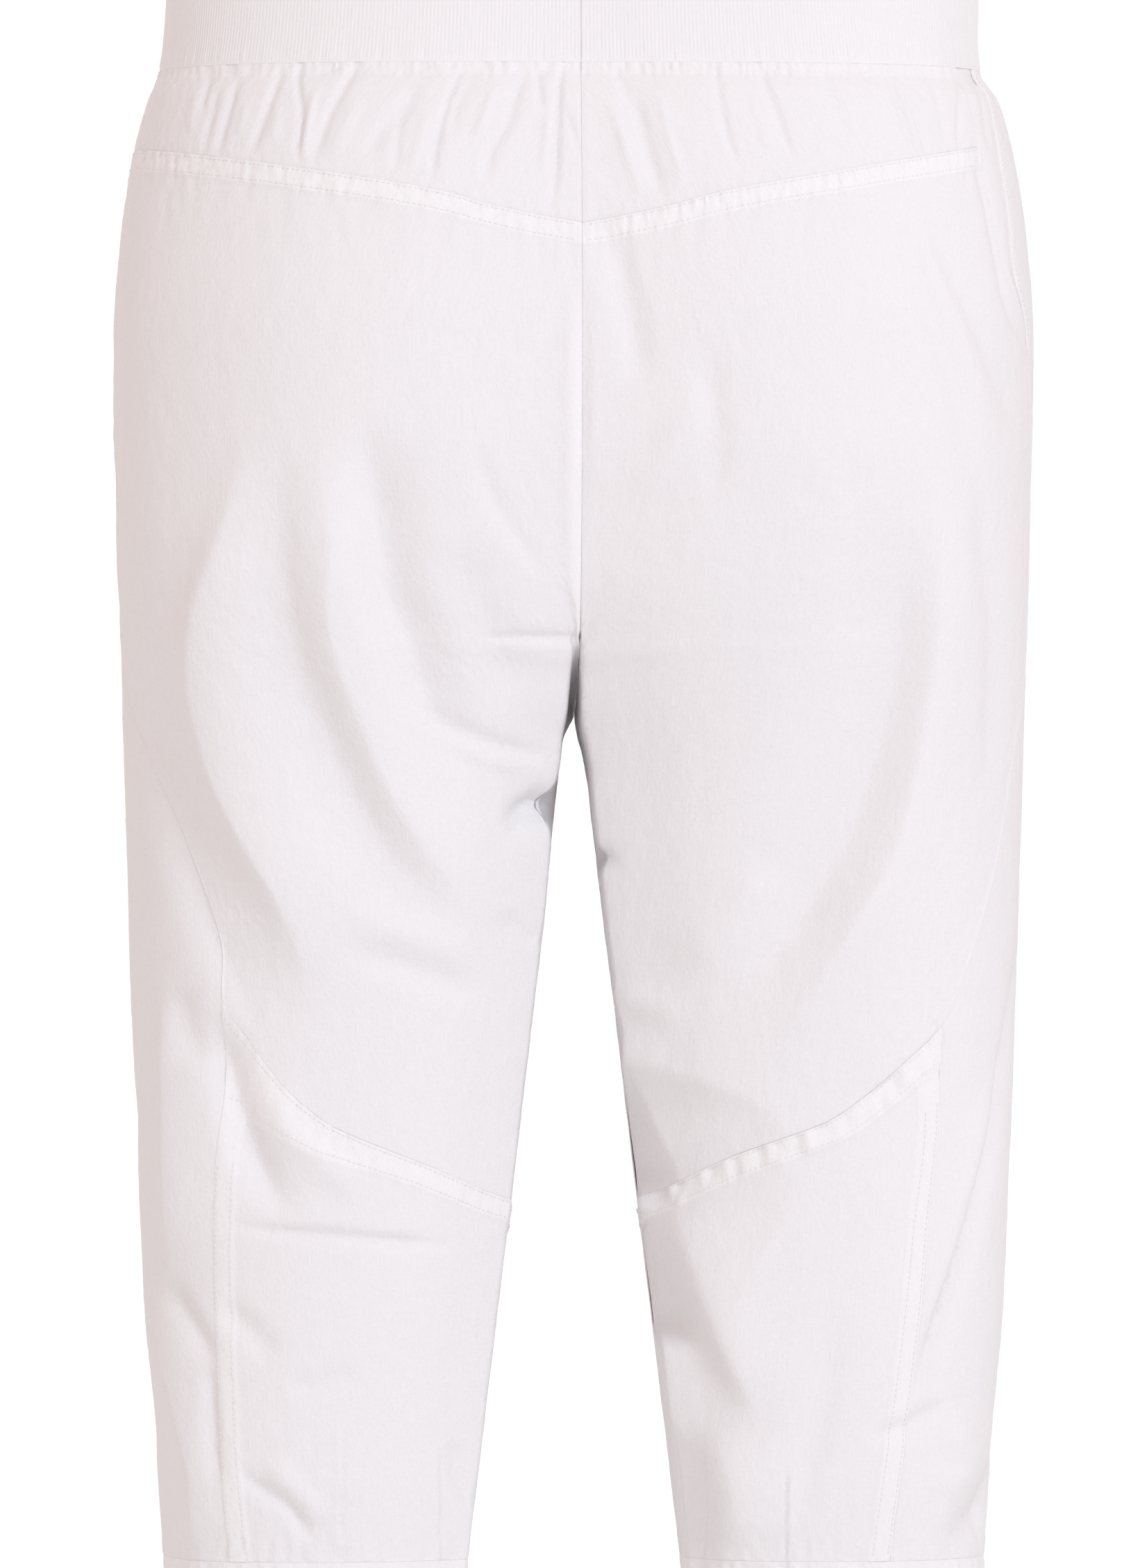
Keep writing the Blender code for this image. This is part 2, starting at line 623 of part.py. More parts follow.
def waistband():
    """The rib-knit ring: ribs stand on its outer face, its inside is plain."""
    levels = (0.0, WAIST_SEAM - GAP / 2)
    girth = whole_loop(levels[1], 64)[2]
    steps = int(round(girth / RIB_PITCH / RIBS_PER_INNER_STEP))
    few = steps
    many = few * RIBS_PER_INNER_STEP * 2
    outer = []
    inner = []
    for below in levels:
        points, normals, _ = whole_loop(below, many)
        crest = (np.arange(many) % 2)[:, None] * RIB_HEIGHT
        outer.append(points + normals * crest)
        points, normals, _ = whole_loop(below, few)
        inner.append(points - normals * KNIT)
    material = cloth_material("white_rib_knit", (0.86, 0.84, 0.85), 0.9)
    return ring_object("waistband", outer, inner, material)


def hem_band(side, material):
    """A closed ring of turned cloth under one leg, with shallow waves."""
    outer = []
    inner = []
    mirror = np.array([1.0 if side == "left" else -1.0, 1.0, 1.0])
    for below in (HEM_SEAM + GAP / 2, HEM_EDGE):
        around, drop = evenly_placed(np.linspace(0, 1, 401), np.full(401, below), HEM_COLUMNS)
        around = around[:-1]
        drop = drop[:-1]
        wave = np.sin(np.arange(HEM_COLUMNS) / HEM_COLUMNS * HEM_WAVES * 2 * np.pi)
        base = half_form(around, drop)
        normal = half_normal(around, drop)
        normal[:, 2] = 0
        normal /= np.linalg.norm(normal, axis=-1, keepdims=True)
        lift = (wave * HEM_WAVE_HEIGHT)[:, None]
        outer.append((base + normal * lift) * mirror)
        inner.append((base + normal * (lift - HEM_CLOTH)) * mirror)
    return ring_object("hem_band_" + side, outer, inner, material)


def band_heights(counts, band_rows):
    """Extra height of a panel's outer points: its first rows carry the stitched band."""
    return [np.full(count + 1, BAND_RISE if j < band_rows else 0.0) for j, count in enumerate(counts)]


def yoke_back(side, material):
    """The gathered half yoke between the waist seam and the V seam."""
    (side_around, side_below), _, _ = side_rows(side)
    counts = [YOKE_COLUMNS] * YOKE_ROWS + [YOKE_COLUMNS // 2]
    seat = evenly_placed(*edge_line(0.0, WAIST_SEAM, YOKE_SEAM["below"][0]), YOKE_ROWS)
    top = row_between((0.0, WAIST_SEAM), (side_around[0], WAIST_SEAM), 160)
    rows = blended_rows(top, yoke_seam_line(side), seat, (side_around, side_below), counts)
    outer, inner = wall_points(side, rows, 0.0)
    open_seams(outer, inner)
    flatten_edge(outer, inner, 0, WAIST_SEAM + GAP / 2)
    return wall_object("yoke_back_" + side, side, outer, inner, material)


def yoke_seam_line(side):
    """The V seam as 161 fine places from the seat seam to the side."""
    (side_around, side_below), _, _ = side_rows(side)
    across = np.linspace(0, half_form(side_around[-1], side_below[-1])[0], 161)
    below = smooth_between(across, YOKE_SEAM["across"], YOKE_SEAM["below"])
    below = below + (side_below[-1] - below[-1]) * np.linspace(0, 1, 161) ** 4
    around = around_at(across, below)
    around[0] = 0.0
    around[-1] = side_around[-1]
    return evenly_placed(around, below, 160)


def curved_seam_line(side):
    """The curved seam's lower stretch as 161 fine places from the inseam outwards."""
    last = len(LONG_SEAM["left_below"]) - 1
    around, below = seam_line(LONG_SEAM, side, JUNCTION_STATION, last)
    around = around[::-1].copy()
    below = below[::-1].copy()
    around[0] = 0.0
    return evenly_placed(around, below, 160)


def back_upper(side, material):
    """Seat and thigh, from the V seam to the curved seam."""
    _, right, _ = side_rows(side)
    rows_down = CROTCH_ROWS + INSEAM_ROWS
    counts = [2 * BACK_COLUMNS] + [BACK_COLUMNS] * rows_down
    rows = blended_rows(yoke_seam_line(side), curved_seam_line(side), seat_rows(), right, counts)
    outer, inner = wall_points(side, rows, 0.0, band_heights(counts, 2))
    open_seams(outer, inner)
    return wall_object("back_upper_" + side, side, outer, inner, material)


def back_lower(side, material):
    """Calf, from the curved seam to the hem seam."""
    _, _, right = side_rows(side)
    counts = [BACK_COLUMNS] * (LOWER_ROWS + 1)
    bottom = row_between((0.0, HEM_SEAM), (right[0][-1], HEM_SEAM), 160)
    rows = blended_rows(curved_seam_line(side), bottom, inseam_lower_rows(), right, counts)
    outer, inner = wall_points(side, rows, 0.0, band_heights(counts, 2))
    open_seams(outer, inner)
    flatten_edge(outer, inner, -1, HEM_SEAM - GAP / 2)
    return wall_object("back_lower_" + side, side, outer, inner, material)


def mouth_offset(below):
    """Distance from the side seam forward to the mouth's edge: half a parabola."""
    share = np.clip((below - WAIST_SEAM) / (MOUTH_FOOT - WAIST_SEAM), 0.0, 1.0)
    return MOUTH_WIDTH * (1 - share ** 2)


def forward_of(around, below, distance):
    """The place a distance forward of another at the same level."""
    fine = np.linspace(around, min(around + 0.3, 1.0), 121)
    return placed_at(fine, np.full_like(fine, below), distance)[0]


def front(side, material):
    """The front with the side panel: waist to hem, cut away at the pocket's mouth."""
    yoke, upper, lower = side_rows(side)
    around = np.concatenate([yoke[0], upper[0][1:], lower[0][1:]])
    below = np.concatenate([yoke[1], upper[1][1:], lower[1][1:]])
    for j in range(len(around)):
        if below[j] < MOUTH_FOOT:
            around[j] = forward_of(around[j], below[j], mouth_offset(below[j]))

    upper_edge = evenly_placed(*edge_line(1.0, YOKE_SEAM_SIDE, CROTCH), CROTCH_ROWS)[1]
    edge_below = np.concatenate([
        np.linspace(WAIST_SEAM, YOKE_SEAM_SIDE, YOKE_ROWS + 1)[:-1],
        upper_edge,
        seat_rows()[1][CROTCH_ROWS + 1:],
        inseam_lower_rows()[1][1:]])
    counts = [4 * FRONT_COLUMNS] * GATHER_ROWS + [2 * FRONT_COLUMNS]
    counts += [FRONT_COLUMNS] * (len(around) - len(counts))
    rows = []
    for j in range(len(around)):
        rows.append(row_between((around[j], below[j]), (1.0, edge_below[j]), counts[j]))
    outer, inner = wall_points(side, rows, 0.0)
    open_seams(outer, inner)
    flatten_edge(outer, inner, 0, WAIST_SEAM + GAP / 2)
    flatten_edge(outer, inner, -1, HEM_SEAM - GAP / 2)
    return wall_object("front_" + side, side, outer, inner, material)


def pocket(side, material):
    """The hip piece that shows in the mouth, sunk under the panels beside it."""
    (yoke_around, yoke_below), (upper_around, upper_below), _ = side_rows(side)
    around = np.concatenate([yoke_around, upper_around[1:]])
    below = np.concatenate([yoke_below, upper_below[1:]])
    foot = MOUTH_FOOT + POCKET_LAP
    levels = np.linspace(WAIST_SEAM, foot, 9)
    columns = 8
    rows = []
    for level in levels:
        seam = np.interp(level, below, around)
        back_fine = np.linspace(seam, seam - 0.12, 41)
        start = placed_at(back_fine, np.full(41, level), POCKET_LAP)[0]
        end = forward_of(seam, level, mouth_offset(level) + POCKET_LAP)
        rows.append(row_between((start, level), (end, level), columns))
    outer, inner = wall_points(side, rows, -POCKET_SINK)
    flatten_edge(outer, inner, 0, WAIST_SEAM + GAP / 2)
    return wall_object("pocket_" + side, side, outer, inner, material)


def main():
    for old in list(bpy.data.objects):
        bpy.data.objects.remove(old, do_unlink=True)
    cotton = cloth_material("white_crinkled_cotton", (0.88, 0.86, 0.87), 0.85)
    waistband()
    for side in ("left", "right"):
        yoke_back(side, cotton)
        back_upper(side, cotton)
        back_lower(side, cotton)
        front(side, cotton)
        pocket(side, cotton)
        hem_band(side, cotton)


main()
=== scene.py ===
"""White crinkled cotton capri pants, filled out as if worn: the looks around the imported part.

The frame has +Z up, the front of the garment towards -Y and its left side towards +X.
The origin is the middle of the waist opening, level with the waistband's top edge.
Tables hold millimetres and become metres as they are read.

The cloth lies on one form, half_form, which covers the left half of the garment. A place
on it has two numbers. "around" runs from 0 at the back edge (the seat seam, and below the
crotch the inseam) over 0.25 at the back crest, 0.5 at the side and 0.75 at the front crest
to 1 at the front edge. "below" is the drop from the waistband's top edge. Each panel is a
fine grid of such places, moved out by the height of its folds, gathers, crinkle, puckers
and stitched bands. The right half is the mirrored form with its own seams and folds.
"""

import functools
import math

import bpy
import numpy as np
from bpy.props import FloatProperty, FloatVectorProperty, PointerProperty
from bpy.types import Operator, Panel, PropertyGroup
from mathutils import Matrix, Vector


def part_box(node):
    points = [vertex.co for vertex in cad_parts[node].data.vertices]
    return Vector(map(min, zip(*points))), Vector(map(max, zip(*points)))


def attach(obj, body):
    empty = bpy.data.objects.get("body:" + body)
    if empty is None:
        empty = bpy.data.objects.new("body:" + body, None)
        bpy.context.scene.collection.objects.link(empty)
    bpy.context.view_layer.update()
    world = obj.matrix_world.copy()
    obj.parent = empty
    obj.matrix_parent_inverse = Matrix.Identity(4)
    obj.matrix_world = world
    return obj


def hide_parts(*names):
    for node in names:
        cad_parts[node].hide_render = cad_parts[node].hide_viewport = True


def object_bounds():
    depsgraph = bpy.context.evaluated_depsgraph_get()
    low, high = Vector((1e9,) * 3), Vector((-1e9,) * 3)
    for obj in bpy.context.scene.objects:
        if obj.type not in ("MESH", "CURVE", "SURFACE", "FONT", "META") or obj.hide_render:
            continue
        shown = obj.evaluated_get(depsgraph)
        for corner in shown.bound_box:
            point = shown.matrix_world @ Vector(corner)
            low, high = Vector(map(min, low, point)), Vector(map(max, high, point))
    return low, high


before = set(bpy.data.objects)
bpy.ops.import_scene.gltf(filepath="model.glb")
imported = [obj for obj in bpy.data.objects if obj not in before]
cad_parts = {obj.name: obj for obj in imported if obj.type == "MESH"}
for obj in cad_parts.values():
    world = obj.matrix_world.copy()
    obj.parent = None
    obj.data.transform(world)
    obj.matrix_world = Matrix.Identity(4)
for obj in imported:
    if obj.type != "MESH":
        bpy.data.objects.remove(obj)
cad_low, cad_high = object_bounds()

bl_info = {
    "name": "Capri Pants",
    "version": (1, 0, 0),
    "blender": (4, 5, 0),
    "location": "3D View > Sidebar > Capri Pants",
    "description": "White crinkled cotton capri pants, made panel by panel",
    "category": "Add Mesh",
}

MM = 0.001
SIDES = ("left", "right")


def seam_between(upper, lower):
    """The drop of the level seam between two nodes, half way across its gap."""
    return -(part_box(upper)[0][2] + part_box(lower)[1][2]) / 2


WAIST_SEAM = seam_between("waistband", "yoke_back_left")
HEM_SEAM = seam_between("back_lower_left", "hem_band_left")
HEM_EDGE = -cad_low[2]
KNEE_SEAM_END = 671 * MM  # drop of the curved seam's end at the inseam
CROTCH = 385 * MM         # drop of the row that closes into a leg

FLOOR_RADIUS = 3.4        # metres
PICTURE_ROWS = 2259       # pixels from the picture's top to its foot
PIXEL = 0.3717 * MM       # real size of a pixel on the garment

FULLNESS = 0.05           # how far each outer quarter bulges past an ellipse
INNER_FULLNESS = 0.11     # the same for the inner front quarters, between the legs


def table(columns, rows, plain=""):
    """A short table as one array for each named column. Only plain columns aren't lengths."""
    names = columns.split()
    values = np.array(rows, dtype=float)
    return {n: values[:, i] * (1.0 if n in plain.split() else MM) for i, n in enumerate(names)}


# One row for each level. Crests are the fullest lines of the back and the front.
# Edges are the seat seam and the centre front seam down to the crotch, then the inseam.
# A cleft of 0 lets the two halves run flat into each other, 1 closes a leg, for the front
# and for the back. The corner is the back's turn into the wall between the legs.
LEVELS = table(
    "below inner_x outer_x back_x back_y front_x front_y middle_y "
    "back_edge_y back_edge_drop front_edge_y front_edge_drop cleft corner_y back_cleft",
    [
        (0, 0, 216, 50, 119, 50, -121, 0, 117, 0, -119, 0, 0, 117.5, 0),
        (60, 0, 221.5, 55, 125, 55, -126, 0, 123, 60, -124, 60, 0, 123.5, 0),
        (75, 0, 227.5, 62, 133, 60, -133, 0, 130, 75, -131, 75, 0, 130.5, 0),
        (100, 0, 234.5, 70, 141, 65, -139, 0, 137, 100, -136, 100, 0, 137.5, 0),
        (150, 0, 242.5, 85, 151, 72, -142, 0, 145, 150, -138, 150, 0.02, 145.5, 0.02),
        (200, 0, 246, 95, 157, 80, -140, 0, 149, 200, -135, 200, 0.05, 149.5, 0.06),
        (250, 0, 245.5, 100, 157, 86, -135, 0, 147, 250, -128, 250, 0.1, 147.5, 0.18),
        (300, 0, 244.2, 106, 151, 92, -128, 0, 138, 300, -117, 300, 0.2, 138.6, 0.45),
        (330, 0, 243.5, 110, 145.5, 98, -124, -0.4, 129.5, 331, -105, 331, 0.3, 130.2, 0.75),
        (350, 0, 243, 113.5, 140.8, 103, -121.5, -0.8, 120.5, 351, -89, 354, 0.5, 121.3, 0.95),
        (362, 0, 242.6, 115.5, 137.7, 106.2, -120, -1, 114, 363, -73, 370, 0.67, 115.5, 0.985),
        (368, 0.2, 242.4, 116.5, 136.3, 107.8, -119.2, -1.2, 92, 374, -62, 378, 0.76, 111.5, 1),
        (377, 0.4, 242.1, 117.8, 133.9, 110.2, -118.2, -1.4, 50, 389, -40, 391, 0.88, 103, 1),
        (385, 0.7, 241.9, 118.9, 131.8, 112.2, -117.3, -1.6, -2, 403, -2, 403, 1, 97, 1),
        (411, 4.2, 241.1, 121.6, 125.8, 118, -115, -2, -2, 422, -2, 422, 1, 85.5, 1),
        (437, 7.4, 240.4, 123, 120.8, 121.5, -113.2, -2, -2, 443, -2, 443, 1, 78.5, 1),
        (463, 10.4, 239.6, 124, 117, 123.6, -111.6, -2, -2, 466, -2, 466, 1, 74.5, 1),
        (515, 16.4, 238.2, 126, 111, 126, -108, 0, 0, 515, 0, 515, 1, 67.5, 1),
        (567, 22.7, 236.4, 129, 106, 129, -103, 2, 2, 567, 2, 567, 1, 63, 1),
        (619, 28.8, 234.4, 131, 102, 131, -97, 4, 4, 619, 4, 619, 1, 61, 1),
        (671, 35, 232, 133, 100, 133, -91, 6, 6, 671, 6, 671, 1, 61, 1),
        (723, 41.3, 229.4, 135, 98, 135, -86, 7, 7, 723, 7, 723, 1, 61, 1),
        (775, 47.6, 225, 137, 95, 137, -82, 7, 7, 775, 7, 775, 1, 60.5, 1),
        (827, 53.8, 221.3, 138, 92, 138, -79, 7, 7, 827, 7, 827, 1, 60, 1),
        (853, 57, 219.5, 138.5, 91, 138.5, -78, 7, 7, 853, 7, 853, 1, 59.6, 1),
        (871, 58.4, 218.6, 138.5, 90, 138.5, -78, 7, 7, 871, 7, 871, 1, 59, 1),
    ],
    plain="cleft back_cleft")

# The inner back quarter of a closed leg, from the inseam to the back crest: the share of the
# crest's distance that it stands inwards, then the shares of the wall's rise up to the
# corner and of the slanting flat's rise from the corner to the crest.
INNER_BACK = table(
    "run inwards wall slant",
    [
        (0, 1, 0, 0),
        (0.25, 0.995, 0.53, 0),
        (0.44, 0.985, 0.95, 0),
        (0.47, 0.975, 1, 0.01),
        (0.50, 0.945, 1, 0.07),
        (0.60, 0.81, 1, 0.32),
        (0.75, 0.55, 1, 0.73),
        (0.88, 0.27, 1, 0.94),
        (0.96, 0.09, 1, 0.994),
        (1, 0, 1, 1),
    ],
    plain="run inwards wall slant")

# How far the corner beside the other leg, and the wall from it to the front, sway away from
# the middle on each leg.
SWAY = table(
    "below left_corner left_wall right_corner right_wall",
    [
        (0, 0, 0, 0, 0),
        (352, 0, 0, 0, 0),
        (366, 2.6, 0, -0.8, 0),
        (385, 3.3, 0, -1.2, 0),
        (403, 3.3, 2.8, -2.4, -0.4),
        (415, 2.6, 2.6, -1.7, 0.2),
        (424, 2.2, 2.2, -1.2, 0.6),
        (440, 1.9, 1.9, -1.8, 0.9),
        (455, 1.6, 1.6, -2.2, 0.9),
        (488, 0.8, 0.8, -2.2, 0.9),
        (521, 0, 0, -2.2, 0.9),
        (554, 0, 0, -1.8, 0.4),
        (588, 0, 0, 0, 0),
        (871, 0, 0, 0, 0),
    ])

# Lines beyond which a leg's back turns away more sharply: leg, 1 for beyond it away from the
# middle or -1 for between it and the middle, how steeply, how round the turn is, over what
# drops it comes in and goes out, and the line's distances from the middle and drops.
TURNS = [
    ("right", -1, 0.24, 8, (14, 24),
     ((32, 583), (60, 595), (86, 605), (104, 616), (111, 630), (113, 650), (112, 668), (104, 684),
      (93, 700), (87, 720), (84, 748))),
    ("right", -1, 1.2, 3, (8, 24),
     ((22, 578), (29.5, 595), (37.7, 607), (43.4, 619.5), (48.3, 632), (54, 644), (62, 668))),
    ("right", -1, 1.1, 4, (22, 18),
     ((34, 654), (42.6, 677), (54, 693), (62.3, 709.6), (66.4, 718), (72, 742))),
    ("right", -1, 0.8, 5, (16, 10),
     ((46, 768), (52.4, 779), (64, 800), (75.4, 824), (78.6, 841), (78, 900))),
    ("left", 1, 1.3, 2, (16, 10),
     ((226, 732), (223.9, 746.5), (218.1, 771), (209.9, 791.6), (205.8, 840.8), (205, 900))),
]

# The V-shaped seam under the back yoke: distance from the seat seam, and drop.
YOKE_SEAM = table(
    "across below",
    [(0, 145.5), (25, 141), (50, 135.5), (70, 130), (140, 117.5), (200, 108), (240, 102)])

# The long seam from the waist down the side, then curving over the back of the leg to
# the inseam. One row for each station, and one pair of columns for each leg.
LONG_SEAM = table(
    "left_around left_below right_around right_below",
    [
        (0.505, 60, 0.413, 60),
        (0.505, 103, 0.404, 103),
        (0.505, 163, 0.410, 163),
        (0.504, 215, 0.446, 210),
        (0.502, 300, 0.467, 285),
        (0.478, 372, 0.461, 370),
        (0.418, 425, 0.431, 420),
        (0.366, 487, 0.399, 487),
        (0.343, 531, 0.366, 541),
        (0.340, 553, 0.344, 569),
        (0.314, 580, 0.314, 588),
        (0.276, 609, 0.262, 615),
        (0.200, 640, 0.200, 636),
        (0.127, 660, 0.131, 658),
        (0.000, 671, 0.000, 671),
    ],
    plain="left_around right_around")
YOKE_STATION = 1          # row of LONG_SEAM where the yoke seam ends
JUNCTION_STATION = 9      # row of LONG_SEAM where the vertical seam starts

# The vertical seam from the long seam down to the hem.
VERTICAL_SEAM = table(
    "left_around left_below right_around right_below",
    [
        (0.340, 553, 0.344, 569),
        (0.340, 606, 0.343, 622),
        (0.345, 645, 0.336, 665),
        (0.349, 715, 0.326, 735),
        (0.348, 790, 0.314, 800),
        (0.341, 853, 0.302, 853),
    ],
    plain="left_around right_around")
AROUND_REACH = 0.8        # rough length of the way once around a half, to space stations

# The pocket mouth runs from the waist seam down to the side seam, a little open.
MOUTH_FOOT = 206 * MM
MOUTH_STITCH = 5.2 * MM   # from the mouth's edge to its stitching
MOUTH_WIDTH = 26 * MM     # from the side seam to the mouth's front edge at the waist seam
POCKET_LAP = 8 * MM       # how far the hip piece reaches under its neighbours
POCKET_SINK = 0.95 * MM   # how far the hip piece lies under its neighbours' outer faces

